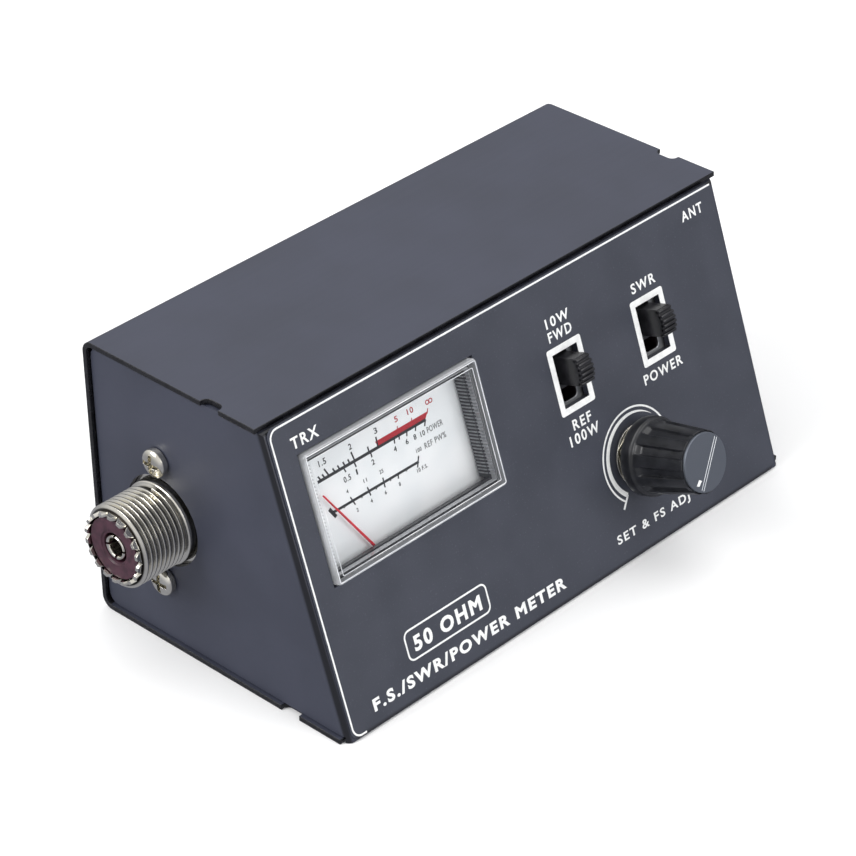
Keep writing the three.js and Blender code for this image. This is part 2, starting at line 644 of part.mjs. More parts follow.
function buildSwitches() {
  SWITCH.x.forEach((x, k) => {
    const name = k === 0 ? "range_switch" : "mode_switch";
    const frame = new THREE.Group();
    frame.position.set(x, -SWITCH.s, 0);
    panel.add(frame);
    add(frame, `${name}_frame`, switchFrame(), FINISH.steel);
    add(frame, `${name}_base`, switchBase(), FINISH.phenolic);
    const slider = add(frame, `${name}_slider`, switchSlider(), FINISH.blackPlastic);
    slider.position.y = SWITCH.travel / 2;
  });
}

// ---------------------------------------------------------------- set control and knob
function potBody() {
  const can = rod(POT.can, POT.canBack, CASE_FRONT - 0.6, 0, 0, 24);
  return cut(can, rod(POT.bush + GAP, -4, 0, 0, 0, 20), rod(POT.shaft + GAP, -6, 0, 0, 0, 20));
}

function potTerminals() {
  const edge = -POT.can - GAP;
  const tab = block([-5.5, edge - 2.6, -4.2], [5.5, edge, -3]);
  const pins = [-3.6, 0, 3.6].map((x) => block([x - 0.6, edge - 6, -3.9], [x + 0.6, edge - 2, -3.4]));
  return join(tab, ...pins);
}

function knobBody() {
  const { foot, skirt, skirtTop, base, tip, top } = KNOB;
  const body = turned([
    [POT.shaft + GAP, 6], [5.4, 6], [5.4, foot], [skirt - 0.3, foot], [skirt, foot + 0.4],
    [skirt, skirtTop - 0.3],
    [skirt - 0.3, skirtTop], [base, skirtTop + 0.5], [tip + 0.15, top - 0.8], [tip, top - 0.2],
    [CAP.round + GAP, top - 0.2], [CAP.round + GAP, CAP.top - CAP.thick - GAP],
    [POT.shaft + GAP, CAP.top - CAP.thick - GAP],
  ], 30);
  const flutes = Array.from({ length: KNOB.flutes }, (_, k) => {
    const depth = 0.45;
    const wide = 0.95;
    const flute = plate(roundedRect(-wide, 0, wide, 20, wide * 0.9), 0, 3, 2);
    flute.rotateX(Math.PI / 2);
    const lean = Math.atan2(base - tip, top - skirtTop);
    flute.translate(0, 3, 0).rotateX(lean).translate(0, base - depth, skirtTop + 1);
    return flute.rotateZ((k + 0.5) * 2 * Math.PI / KNOB.flutes);
  });
  return cut(body, ...flutes);
}

function knobCap() {
  const { round, thick, top } = CAP;
  const edge = 0.15;
  return turned([
    [0, top - thick], [round, top - thick], [round, top - edge], [round - edge, top], [0, top],
  ], 30);
}

function buildControl() {
  const frame = new THREE.Group();
  frame.position.set(POT.x, -POT.s, 0);
  panel.add(frame);
  const bushing = turned([
    [POT.shaft + 0.12, -3.8], [POT.bush, -3.8], [POT.bush, POT.bushTop], [POT.shaft + 0.12, POT.bushTop],
  ], 24);
  const washer = turned([[POT.bush + 0.25, 0.5], [6, 0.5], [6, 0.9], [POT.bush + 0.25, 0.9]], 28);
  const shaft = turned([[0, -5.8], [POT.shaft, -5.8], [POT.shaft, POT.shaftTop], [0, POT.shaftTop]], 24);
  add(frame, "set_pot_body", potBody(), FINISH.steel);
  add(frame, "set_pot_terminals", potTerminals(), FINISH.phenolic);
  add(frame, "set_pot_bushing", bushing, FINISH.nickel);
  add(frame, "set_pot_washer", washer, FINISH.nickel);
  add(frame, "set_pot_nut", hexagon(10, 1.1, 2.7, POT.bush + 0.25), FINISH.nickel);
  add(frame, "set_pot_shaft", shaft, FINISH.nickel);
  add(frame, "set_knob", knobBody(), FINISH.knob);
  add(frame, "set_knob_cap", knobCap(), FINISH.cap);
}

// ---------------------------------------------------------------- coupler board
function axialPart(round, long) {
  const body = rod(round, -long / 2, long / 2, 0, 0, 12);
  const wires = rod(0.3, -long / 2 - 2.6, long / 2 + 2.6, 0, 0, 8);
  const feet = [-1, 1].map((end) => {
    const at = end * (long / 2 + 2.4);
    return block([-0.25, -0.25, at - 0.25], [round + 0.3, 0.25, at + 0.25]);
  });
  return join(body, wires, ...feet).rotateY(Math.PI / 2);
}

function discCapacitor() {
  const disc = rod(2.4, -0.8, 0.8, 0, 0, 16).rotateX(Math.PI / 2).translate(0, 0, 4);
  const legs = [-1.6, 1.6].map((x) => block([x - 0.25, -0.25, 0], [x + 0.25, 0.25, 3.4]));
  return join(disc, ...legs);
}

function buildBoard() {
  const half = BOARD.width / 2;
  const top = BOARD.low + BOARD.thick;
  add(meter, "coupler_board", block([-half, BOARD.front, BOARD.low], [half, BOARD.back, top]), FINISH.board);
  const reach = SIDE_X + FLANGE_REAR - 10 - GAP;
  const rodAlongX = rod(1.5, -reach, reach, 0, 0, 14).rotateY(Math.PI / 2);
  const line = add(meter, "through_line", rodAlongX, FINISH.copper);
  line.position.set(0, SOCKET.y, SOCKET.z);
  for (const [name, side] of [["forward", -1], ["reflected", 1]]) {
    const diode = add(meter, `${name}_diode`, axialPart(0.9, 4), FINISH.glass);
    diode.position.set(side * 14, 20, top + 1.2 + GAP);
    const resistor = add(meter, `${name}_resistor`, axialPart(1.2, 6.4), FINISH.boardPart);
    resistor.position.set(side * 30, 20, top + 1.5 + GAP);
    const capacitor = add(meter, `${name}_capacitor`, discCapacitor(), FINISH.boardPart);
    capacitor.position.set(side * 22, 25, top + GAP);
  }
}

/** Leads from the board's front edge to the meter's two terminals. */
function buildLeads() {
  const probe = new THREE.Vector3();
  const ends = [["left", -STUD.x, FINISH.wireRed], ["right", STUD.x, FINISH.wireBlack]];
  for (const [name, x, material] of ends) {
    probe.set(METER.x + x, -METER.caseFoot + STUD.up, -STUD.tip - 2 * GAP).applyMatrix4(panel.matrix);
    const out = new THREE.Vector3(0, Math.cos(rad(CASE.lean)), -Math.sin(rad(CASE.lean)));
    const next = probe.clone().addScaledVector(out, 1.6);
    const aside = probe.x + 1;
    const points = [
      probe.toArray(), next.toArray(), [aside, 1.6, 11], [aside, 3.2, 15.5], [aside, 3.8, 20.6],
    ];
    add(meter, `meter_lead_${name}`, lead(points, 0.6), material);
  }
}

buildCase();
buildSocket("trx", -1);
buildSocket("ant", 1);
buildMeter();
buildSwitches();
buildControl();
buildBoard();
buildLeads();

export default meter;
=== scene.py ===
"""The looks of a table-top SWR and power meter for radio transceivers.

A wedge-shaped steel case with a sloping printed front, a moving-coil meter behind a clear window,
two slide switches, a set knob and a threaded coaxial socket on each side. The frame is in metres,
+Z up, +X to the right, the sloping front towards -Y. Pieces are drawn in millimetres in a frame of
their own and put in place by a matrix.
"""

import json
import math

import bmesh
import bpy
from mathutils import Matrix, Vector


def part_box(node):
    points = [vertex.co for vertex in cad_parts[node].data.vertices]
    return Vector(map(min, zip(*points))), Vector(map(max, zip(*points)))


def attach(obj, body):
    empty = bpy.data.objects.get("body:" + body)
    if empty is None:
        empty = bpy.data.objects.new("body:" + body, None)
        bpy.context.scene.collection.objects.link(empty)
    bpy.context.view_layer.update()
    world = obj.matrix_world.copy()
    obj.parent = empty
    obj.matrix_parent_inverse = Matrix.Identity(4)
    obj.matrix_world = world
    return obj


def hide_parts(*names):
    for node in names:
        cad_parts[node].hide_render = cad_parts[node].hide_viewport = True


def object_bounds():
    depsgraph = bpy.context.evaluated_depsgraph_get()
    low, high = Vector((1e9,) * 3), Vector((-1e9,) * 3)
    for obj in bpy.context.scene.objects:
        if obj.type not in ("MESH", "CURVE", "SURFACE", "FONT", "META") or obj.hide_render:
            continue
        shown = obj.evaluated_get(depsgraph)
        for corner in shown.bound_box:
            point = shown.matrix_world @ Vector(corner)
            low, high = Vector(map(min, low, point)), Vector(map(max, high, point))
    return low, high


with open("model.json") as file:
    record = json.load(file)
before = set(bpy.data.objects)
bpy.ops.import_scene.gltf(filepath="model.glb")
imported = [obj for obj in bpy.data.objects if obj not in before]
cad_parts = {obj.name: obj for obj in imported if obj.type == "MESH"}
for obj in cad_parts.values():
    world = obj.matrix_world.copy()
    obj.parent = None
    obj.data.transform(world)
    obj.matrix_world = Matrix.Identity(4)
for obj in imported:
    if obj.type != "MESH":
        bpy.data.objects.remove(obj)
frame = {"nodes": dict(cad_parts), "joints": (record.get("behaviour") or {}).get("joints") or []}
CAD_BOX = [list(corner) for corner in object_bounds()]

MM = 0.001
INK = 0.03  # how thick every print is, in millimetres
JOINT = {joint["name"]: joint for joint in frame["joints"]}
RIGHT = Vector((1, 0, 0))
OUT = -Vector(JOINT["knob_turn"]["axis"]).normalized()  # out of the front panel
UP_SLOPE = -Vector(JOINT["range_slide"]["axis"]).normalized()
KNOB_FOOT = Vector(JOINT["knob_turn"]["pos_m"])
PIVOT_FOOT = Vector(JOINT["pointer_swing"]["pos_m"])
TRAVEL = JOINT["range_slide"]["range_m"][1] / MM  # of each slide switch


def place_of(origin, right, up, out):
    """The matrix from a millimetre frame with these axes to the object's own frame."""
    turn = Matrix((right, up, out)).transposed().to_4x4()
    return Matrix.Translation(origin) @ turn @ Matrix.Scale(MM, 4)


TOP_EDGE = KNOB_FOOT + UP_SLOPE * ((CAD_BOX[1][2] - KNOB_FOOT.z) / UP_SLOPE.z)
PANEL = place_of(Vector((0, TOP_EDGE.y, TOP_EDGE.z)), RIGHT, UP_SLOPE, OUT)
KNOB = place_of(KNOB_FOOT, RIGHT, UP_SLOPE, OUT)


def extent(node, place=PANEL):
    """The lowest and highest corner of a CAD node in a millimetre frame."""
    inside = place.inverted()
    points = [inside @ vertex.co for vertex in frame["nodes"][node].data.vertices]
    low = Vector([min(point[k] for point in points) for k in range(3)])
    high = Vector([max(point[k] for point in points) for k in range(3)])
    return low, high


# ------------------------------------------------------------------ node trees as expressions
class Value:
    """A socket with arithmetic: an expression on it adds the Math nodes that work it out."""

    def __init__(self, graph, socket):
        self.graph = graph
        self.socket = socket

    def math(self, operation, *terms):
        settings = {"operation": operation}
        return self.graph.node("ShaderNodeMath", settings, dict(enumerate(terms)))

    def __add__(self, other):
        return self.math("ADD", self, other)

    def __radd__(self, other):
        return self.math("ADD", other, self)

    def __sub__(self, other):
        return self.math("SUBTRACT", self, other)

    def __rsub__(self, other):
        return self.math("SUBTRACT", other, self)

    def __mul__(self, other):
        return self.math("MULTIPLY", self, other)

    def __rmul__(self, other):
        return self.math("MULTIPLY", other, self)

    def __truediv__(self, other):
        return self.math("DIVIDE", self, other)

    def __pow__(self, power):
        return self.math("POWER", self, power)

    def ramp(self, low, high):
        """0 below low, 1 above high, and a smooth rise between."""
        values = {"Value": self, "From Min": low, "From Max": high}
        settings = {"interpolation_type": "SMOOTHSTEP"}
        return self.graph.node("ShaderNodeMapRange", settings, values)


class Graph:
    """A node tree that is built by one method, which adds a node, sets it up and feeds it."""

    def __init__(self, tree):
        self.tree = tree
        self.tree.nodes.clear()

    def feed(self, socket, value):
        if isinstance(value, Value):
            self.tree.links.new(value.socket, socket)
        else:
            socket.default_value = value

    def node(self, kind, settings=None, values=None, output=0):
        made = self.tree.nodes.new(kind)
        for name, setting in (settings or {}).items():
            setattr(made, name, setting)
        for socket, value in (values or {}).items():
            self.feed(made.inputs[socket], value)
        return Value(self, made.outputs[output])

    def mix(self, share, first, second):
        """A colour between two colours."""
        return self.node("ShaderNodeMix", {"data_type": "RGBA"}, {0: share, 6: first, 7: second}, 2)

    def split(self, vector):
        return [self.node("ShaderNodeSeparateXYZ", {}, {0: vector}, k) for k in range(3)]

    def vector(self, x, y, z):
        return self.node("ShaderNodeCombineXYZ", {}, {0: x, 1: y, 2: z})


# ------------------------------------------------------------------ geometry trees for what repeats
class Grower(Graph):
    """A Geometry Nodes tree with named inputs that ends as real geometry in one finish."""

    def __init__(self, name, **kinds):
        super().__init__(bpy.data.node_groups.new(name, "GeometryNodeTree"))
        face = self.tree.interface
        face.new_socket("Geometry", in_out="INPUT", socket_type="NodeSocketGeometry")
        for label, kind in {**kinds, "Finish": "Material"}.items():
            face.new_socket(label, in_out="INPUT", socket_type="NodeSocket" + kind)
        face.new_socket("Geometry", in_out="OUTPUT", socket_type="NodeSocketGeometry")
        self.entry = self.tree.nodes.new("NodeGroupInput")

    def input(self, label):
        return Value(self, self.entry.outputs[label])

    def scatter(self, points, instance, rotation, scale=(1, 1, 1)):
        turn = self.node("FunctionNodeEulerToRotation", {}, {0: rotation})
        values = {"Points": points, "Instance": instance, "Rotation": turn, "Scale": scale}
        return self.node("GeometryNodeInstanceOnPoints", {}, values)

    def close(self, geometry):
        real = self.node("GeometryNodeRealizeInstances", {}, {0: geometry})
        values = {"Geometry": real, "Material": self.input("Finish")}
        done = self.node("GeometryNodeSetMaterial", {}, values)
        self.feed(self.tree.nodes.new("NodeGroupOutput").inputs[0], done)


def lattice_tree():
    """Copies of a mesh in rows, centred, lowered by Sag times the square of their own y."""
    graph = Grower("lattice", Count="Int", Rows="Int", StepX="Float", StepY="Float", Sag="Float")
    count = graph.input("Count")
    rows = graph.input("Rows")
    index = graph.node("GeometryNodeInputIndex")
    column = index.math("MODULO", index, count)
    row = index.math("FLOOR", index / count)
    x = (column - (count - 1) / 2) * graph.input("StepX")
    y = (row - (rows - 1) / 2) * graph.input("StepY")
    values = {"Count": count * rows, "Position": graph.vector(x, y, y * y * graph.input("Sag") * -1)}
    points = graph.node("GeometryNodePoints", {}, values)
    graph.close(graph.scatter(points, graph.input("Geometry"), (0, 0, 0)))
    return graph


def ring_tree():
    """Copies of a mesh turned evenly about Z."""
    graph = Grower("ring", Count="Int")
    index = graph.node("GeometryNodeInputIndex")
    turn = index * (2 * math.pi) / graph.input("Count")
    points = graph.node("GeometryNodePoints", {}, {"Count": graph.input("Count")})
    graph.close(graph.scatter(points, graph.input("Geometry"), graph.vector(0, 0, turn)))
    return graph


def thread_tree():
    """A screw thread: the section given as a loop of edges is swept along a helix."""
    graph = Grower("thread", Radius="Float", Pitch="Float", Turns="Float", Steps="Int")
    radius = graph.input("Radius")
    turns = graph.input("Turns")
    values = {"Resolution": graph.input("Steps"), "Rotations": turns, "Start Radius": radius,
              "End Radius": radius, "Height": turns * graph.input("Pitch")}
    helix = graph.node("GeometryNodeCurveSpiral", {}, values)
    level = graph.node("GeometryNodeSetCurveNormal", {"mode": "Z_UP"}, {"Curve": helix})
    section = graph.node("GeometryNodeMeshToCurve", {}, {0: graph.input("Geometry")})
    values = {"Curve": level, "Profile Curve": section, "Fill Caps": True}
    graph.close(graph.node("GeometryNodeCurveToMesh", {}, values))
    return graph


def flutes_tree():
    """Presses evenly spaced flutes into a turned body between two heights."""
    graph = Grower("flutes", Count="Int", Depth="Float", Narrow="Float", Low="Float",
                   Fade="Float", High="Float", Radius="Float")
    position = graph.node("GeometryNodeInputPosition")
    x, y, z = graph.split(position)
    angle = x.math("ARCTAN2", y, x)
    wave = angle.math("COSINE", angle * graph.input("Count")) * 0.5 + 0.5
    low = graph.input("Low")
    along = z.ramp(low, low + graph.input("Fade"))
    reach = (x * x + y * y) ** 0.5
    outside = reach.math("GREATER_THAN", reach, graph.input("Radius"))
    under = z.math("LESS_THAN", z, graph.input("High"))
    groove = wave.ramp(graph.input("Narrow"), graph.input("Narrow") + 0.24)
    dip = groove * along * outside * under * graph.input("Depth") / reach
    offset = graph.vector(x * dip * -1, y * dip * -1, 0)
    values = {"Geometry": graph.input("Geometry"), "Offset": offset}
    graph.close(graph.node("GeometryNodeSetPosition", {}, values))
    return graph


def ticks_tree():
    """A thin bar on each point, with its own length and width, aimed at the pivot."""
    graph = Grower("ticks", PivotX="Float", PivotY="Float", Thick="Float")
    x, y, z = graph.split(graph.node("GeometryNodeInputPosition"))
    away = (graph.input("PivotX") - x) / (y - graph.input("PivotY"))
    lean = away.math("ARCTANGENT", away)
    reach = graph.node("GeometryNodeInputNamedAttribute", {"data_type": "FLOAT"}, {"Name": "reach"})
    wide = graph.node("GeometryNodeInputNamedAttribute", {"data_type": "FLOAT"}, {"Name": "wide"})
    bar = graph.node("GeometryNodeMeshCube", {}, {"Size": (1, 1, 1)})
    stood = graph.node("GeometryNodeTransform", {}, {"Geometry": bar, "Translation": (0, 0.5, 0.5)})
    scale = graph.vector(wide, reach, graph.input("Thick"))
    graph.close(graph.scatter(graph.input("Geometry"), stood, graph.vector(0, 0, lean), scale))
    return graph


LATTICE = lattice_tree()
RING = ring_tree()
THREAD = thread_tree()
FLUTES = flutes_tree()
TICKS = ticks_tree()


# ------------------------------------------------------------------ shapes, in millimetres
def mesh_of(bm):
    """The mesh of a bmesh, with its faces turned outward."""
    bmesh.ops.recalc_face_normals(bm, faces=bm.faces)
    mesh = bpy.data.meshes.new("shape")
    bm.to_mesh(mesh)
    bm.free()
    return mesh


def moved(mesh, x=0, y=0, z=0):
    mesh.transform(Matrix.Translation((x, y, z)))
    return mesh


def joined(*meshes):
    bm = bmesh.new()
    for mesh in meshes:
        bm.from_mesh(mesh)
    return mesh_of(bm)


def turned(profile, sides=64):
    """A body of revolution about Z from [radius, height] points, closed on itself off the axis."""
    bm = bmesh.new()
    angles = [2 * math.pi * k / sides for k in range(sides)]
    rings = []
    for radius, height in profile:
        spots = [(radius * math.cos(a), radius * math.sin(a)) for a in (angles if radius > 0 else [0])]
        rings.append([bm.verts.new((x, y, height)) for x, y in spots])
    pairs = list(zip(rings, rings[1:]))
    if profile[0][0] > 0:
        pairs.append((rings[-1], rings[0]))
    for first, second in pairs:
        for k in range(sides):
            a, b = first[k % len(first)], first[(k + 1) % len(first)]
            c, d = second[(k + 1) % len(second)], second[k % len(second)]
            bm.faces.new(dict.fromkeys([a, b, c, d]))
    return mesh_of(bm)


def prism(outline, low, high):
    """A closed outline of [x, y] points thickened from low to high."""
    bm = bmesh.new()
    floor = [bm.verts.new((x, y, low)) for x, y in outline]
    roof = [bm.verts.new((x, y, high)) for x, y in outline]
    bm.faces.new(floor)
    bm.faces.new(roof)
    for k in range(len(outline)):
        after = (k + 1) % len(outline)
        bm.faces.new((floor[k], floor[after], roof[after], roof[k]))
    return mesh_of(bm)


def band(first, second, low, high, closed=True):
    """A flat strip between two lines with as many points each, thickened from low to high."""
    bm = bmesh.new()
    rows = [[bm.verts.new((x, y, z)) for x, y in line] for line, z in
            ((first, low), (second, low), (second, high), (first, high))]
    count = len(first)
    for k in range(count if closed else count - 1):
        after = (k + 1) % count
        for row, across in zip(rows, rows[1:] + rows[:1]):
            bm.faces.new((row[k], row[after], across[after], across[k]))
    if not closed:
        bm.faces.new([row[0] for row in rows])
        bm.faces.new([row[-1] for row in rows])
    return mesh_of(bm)


def soft_rect(left, right, low, high, corner, steps=6):
    """The outline of a rectangle with round corners."""
    outline = []
    for k, (x, y) in enumerate([(right, high), (left, high), (left, low), (right, low)]):
        inward = (-1 if x == right else 1, -1 if y == high else 1)
        for step in range(steps + 1):
            angle = math.pi / 2 * (k + step / steps)
            outline.append((x + inward[0] * corner + corner * math.cos(angle),
                            y + inward[1] * corner + corner * math.sin(angle)))
    return outline


def frame_print(left, right, low, high, corner, line, height):
    """A printed rectangle: a line of even width inside an outline."""
    inner = max(corner - line, 0.05)
    outside = soft_rect(left, right, low, high, corner)
    inside = soft_rect(left + line, right - line, low + line, high - line, inner)
    return band(outside, inside, height, height + INK)


def added(name, data):
    """A new object in the scene."""
    made = bpy.data.objects.new(name, data)
    bpy.context.scene.collection.objects.link(made)
    return made


def taken(host):
    """The plain mesh of an object with its modifiers applied; the object goes."""
    graph = bpy.context.evaluated_depsgraph_get()
    plain = bpy.data.meshes.new_from_object(host.evaluated_get(graph))
    bpy.data.objects.remove(host)
    return plain


def settled(mesh, *modifiers):
    """A plain mesh with modifiers applied; each is a type and its settings."""
    host = added("host", mesh)
    for kind, settings in modifiers:
        modifier = host.modifiers.new(kind, kind)
        for name, value in settings.items():
            setattr(modifier, name, value)
    return taken(host)


def eased(mesh, width, segments=2):
    """The mesh with its sharp edges rounded."""
    return settled(mesh, ("BEVEL", {
        "width": width, "segments": segments, "limit_method": "ANGLE", "angle_limit": math.radians(35),
        "use_clamp_overlap": True,
    }))


def cut(mesh, tool):
    """The mesh less a second one."""
    holder = added("tool", tool)
    left = settled(mesh, ("BOOLEAN", {"operation": "DIFFERENCE", "object": holder, "solver": "EXACT"}))
    bpy.data.objects.remove(holder)
    return left


def grown(grower, mesh, finish, **values):
    """The plain mesh that a geometry tree makes from a start mesh and its named inputs."""
    host = added("start", mesh)
    modifier = host.modifiers.new("grow", "NODES")
    modifier.node_group = grower.tree
    values["Finish"] = finish
    for item in grower.tree.interface.items_tree:
        if item.in_out == "INPUT" and item.name in values:
            modifier[item.identifier] = values[item.name]
    return taken(host)


def welded(node, ease=0.0):
    """A copy of a CAD node's mesh, in metres, with shared corners, whole faces and eased edges."""
    bm = bmesh.new()
    bm.from_mesh(frame["nodes"][node].data)
    bmesh.ops.remove_doubles(bm, verts=bm.verts, dist=0.002 * MM)
    bmesh.ops.dissolve_limit(bm, angle_limit=math.radians(1), verts=bm.verts, edges=bm.edges)
    mesh = mesh_of(bm)
    mesh.materials.clear()
    return eased(mesh, ease * MM) if ease else mesh


def words(text, left, right, foot, tall, height, bold=0.0, spaced=1.0):
    """Printed words fitted between left and right, with their foot and their height in Y."""
    curve = bpy.data.curves.new("words", "FONT")
    curve.body = text
    curve.extrude = 0.1
    curve.bevel_depth = bold
    curve.space_character = spaced
    curve.resolution_u = 4
    bm = bmesh.new()
    bm.from_mesh(taken(added("words", curve)))
    bmesh.ops.remove_doubles(bm, verts=bm.verts, dist=1e-5)
    low = [min(v.co[k] for v in bm.verts) for k in range(3)]
    high = [max(v.co[k] for v in bm.verts) for k in range(3)]
    start = (left, foot, height)
    size = (right - left, tall, INK)
    for vertex in bm.verts:
        for k in range(3):
            vertex.co[k] = start[k] + (vertex.co[k] - low[k]) / (high[k] - low[k]) * size[k]
    return mesh_of(bm)


# ------------------------------------------------------------------ finishes
def srgb(red, green, blue):
    """A linear colour from the usual numbers from 0 to 255."""
    shares = [value / 255 for value in (red, green, blue)]
    return (*[s / 12.92 if s < 0.04045 else ((s + 0.055) / 1.055) ** 2.4 for s in shares], 1)


class Finish(Graph):
    """A material around one Principled shader; what is the same all over is set on its sockets."""

    def __init__(self, name, **constants):
        self.material = bpy.data.materials.new(name)
        self.material.use_nodes = True
        super().__init__(self.material.node_tree)
        self.end = self.tree.nodes.new("ShaderNodeOutputMaterial").inputs["Surface"]
        self.shader = self.tree.nodes.new("ShaderNodeBsdfPrincipled")
        self.tree.links.new(self.shader.outputs[0], self.end)
        self.place = self.node("ShaderNodeTexCoord", output="Object")
        for socket, value in constants.items():
            self.paint(socket.replace("_", " "), value)

    def paint(self, socket, value):
        self.feed(self.shader.inputs[socket], value)

    def noise(self, scale, detail=2.0, stretch=(1, 1, 1), at=None):
        """Noise from 0 to 1 with features of one over scale, drawn out by a small stretch."""
        drawn = self.node("ShaderNodeMapping", {}, {"Vector": at or self.place, "Scale": stretch})
        return self.node("ShaderNodeTexNoise", {}, {"Vector": drawn, "Scale": scale, "Detail": detail})

    def bump(self, height, strength, depth):
        """Relief of a depth in millimetres."""
        values = {"Height": height, "Strength": strength, "Distance": depth * MM}
        self.paint("Normal", self.node("ShaderNodeBump", {}, values))

    def local(self, place):
        """The position in a millimetre frame of the object."""
        shift, turn, scale = place.inverted().decompose()
        values = {"Vector": self.place, "Location": shift, "Rotation": turn.to_euler(), "Scale": scale}
        return self.node("ShaderNodeMapping", {}, values)

    def clear_by(self, share):
        """Shows the shader by this share and lets the rest through."""
        through = self.node("ShaderNodeBsdfTransparent")
        shown = Value(self, self.shader.outputs[0])
        self.feed(self.end, self.node("ShaderNodeMixShader", {}, {0: share, 1: through, 2: shown}))


def cloudy(name, dark, light, rough, spread=0.1, scale=300, stretch=(1, 1, 1), relief=0.01, grain=2500,
           **constants):
    """A finish whose colour and roughness drift, with a fine grain in its surface."""
    finish = Finish(name, **constants)
    drift = finish.noise(scale, 4, stretch)
    finish.paint("Base Color", finish.mix(drift.ramp(0.3, 0.7), dark, light))
    finish.paint("Roughness", rough + spread * drift)
    finish.bump(finish.noise(grain, 2, stretch), 0.35, relief)
    return finish.material


def enamel(name, dark, light, rough):
    """Baked satin enamel on bent sheet: a fine skin, with painted shade over the bends, where the
    colour goes near black and the roughness drops.
    """
    finish = Finish(name)
    cloud = finish.noise(60, 3).ramp(0.3, 0.7)
    drawn = finish.noise(900, 3, (0.06, 1, 1))
    x, y, z = finish.split(finish.node("ShaderNodeNewGeometry", output="Normal"))
    flat = y * OUT.y + z * OUT.z
    for axis in (x, y, z):
        flat = flat.math("MAXIMUM", flat, axis.math("ABSOLUTE", axis))
    # painted shade: 1 over the bends, where the normal leaves the sheet's flat directions; it takes the
    # colour near black
    bend_painted_shade = 1 - flat.ramp(0.86, 0.995)
    body = finish.mix(cloud, dark, light)
    finish.paint("Base Color", finish.mix(bend_painted_shade * 0.85, body, srgb(6, 6, 9)))
    finish.paint("Roughness", rough + cloud * 0.06 + drawn * 0.08 - bend_painted_shade * 0.12)
    finish.bump(finish.noise(2600, 2) + drawn * 0.5, 0.18, 0.012)
    return finish.material


def printed_film(name, dark, light, rough):
    """The satin film on the front: finely speckled, with painted shade at its foot, where the colour
    goes near black over its lowest millimetre.
    """
    finish = Finish(name)
    cloud = finish.noise(90, 4).ramp(0.3, 0.7)
    speck = finish.noise(3200, 2).ramp(0.62, 0.75)
    x, y, z = finish.split(finish.local(PANEL))
    # painted shade: 1 at the film's foot, fading out over the millimetre above
    foot = 1 - y.ramp(-59.7, -58.9)
    body = finish.mix(speck * 0.35, finish.mix(cloud, dark, light), srgb(96, 99, 110))
    finish.paint("Base Color", finish.mix(foot * 0.9, body, srgb(10, 10, 13)))
    finish.paint("Roughness", rough + cloud * 0.08)
    finish.bump(finish.noise(2500, 2), 0.3, 0.008)
    return finish.material


def turned_metal(name, place, dark, light, rough):
    """A spun face: fine rings about the frame's Z axis."""
    finish = Finish(name, Metallic=0.7)
    x, y, z = finish.split(finish.local(place))
    reach = (x * x + y * y) ** 0.5
    rings = finish.noise(9, 3, at=finish.vector(reach, 0, 0))
    finish.paint("Base Color", finish.mix(rings, dark, light))
    finish.paint("Roughness", rough + rings * 0.2)
    finish.bump(rings, 0.4, 0.02)
    return finish.material


def threaded_nickel(place):
    """Plated metal that is dull at the root of a thread and bright on its crest, with painted shade:
    the colour goes dark brown at the root and anywhere nearer the axis, such as the bore.
    """
    finish = Finish("nickel_thread", Metallic=1.0)
    x, y, z = finish.split(finish.local(place))
    # painted shade: 0 at and inside the thread's root, rising to 1 on the crest; where it is 0 the
    # colour is dark brown
    crest = ((x * x + y * y) ** 0.5).ramp(ROOT, ROOT + 0.3)
    grime = finish.noise(900, 3)
    metal = finish.mix(grime, srgb(222, 218, 206), srgb(244, 241, 232))
    finish.paint("Base Color", finish.mix(crest, srgb(40, 37, 33), metal))
    finish.paint("Roughness", 0.34 - crest * 0.22 + grime * 0.08)
    finish.bump(grime, 0.3, 0.01)
    return finish.material


def acrylic(name, tint, least, most, metal):
    """Clear moulded acrylic: it mirrors more where it turns away from the eye."""
    finish = Finish(name, Base_Color=tint, Metallic=metal)
    facing = finish.node("ShaderNodeLayerWeight", {}, {"Blend": 0.25}, "Facing")
    haze = finish.noise(150, 3)
    finish.paint("Roughness", 0.03 + haze * 0.08)
    finish.clear_by(least + (facing ** 2) * (most - least) + haze * 0.01)
    return finish.material


def wound_copper():
    """Enamelled wire laid turn by turn."""
    finish = Finish("wound_copper", Metallic=0.9)
    x, y, z = finish.split(finish.local(PANEL))
    turns = z.math("SINE", z * 40) * 0.5 + 0.5
    finish.paint("Base Color", finish.mix(turns, srgb(96, 44, 22), srgb(190, 106, 62)))
    finish.paint("Roughness", 0.3 + turns * 0.2)
    finish.bump(turns, 0.6, 0.05)
    return finish.material


def banded_resistor():
    """A tan moulded body with painted rings along X."""
    finish = Finish("banded_resistor")
    x, y, z = finish.split(finish.place)
    ring = x.math("SINE", x * (2 * math.pi / (1.7 * MM))).ramp(0.45, 0.7)
    speck = finish.noise(1500, 2)
    tan = finish.mix(speck, srgb(186, 150, 104), srgb(204, 172, 128))
    finish.paint("Base Color", finish.mix(ring, tan, srgb(96, 46, 30)))
    finish.paint("Roughness", 0.4 + speck * 0.15)
    return finish.material


# a coaxial socket, in millimetres
LONG = 12.2  # from the side panel to the tips of the teeth
PITCH = 25.4 / 24
ROOT = 7.2  # radius under the thread
WALL = 6.2  # radius of the bore
TEETH = 18
CREST = 0.7  # from the root of the thread to its crest
TURNS = 8.7
THREAD_FOOT = 1.9  # where the thread starts


def socket_place(prefix):
    """The frame of a coaxial socket: its middle on the side panel, +Z outward, X upward."""
    low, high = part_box(prefix + "_socket_contact")
    side = 1 if high.x > 0 else -1
    panel_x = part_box("case_chassis")[1].x * side
    origin = Vector((panel_x, (low.y + high.y) / 2, (low.z + high.z) / 2))
    return place_of(origin, Vector((0, 0, 1)), Vector((0, -side, 0)), Vector((side, 0, 0)))


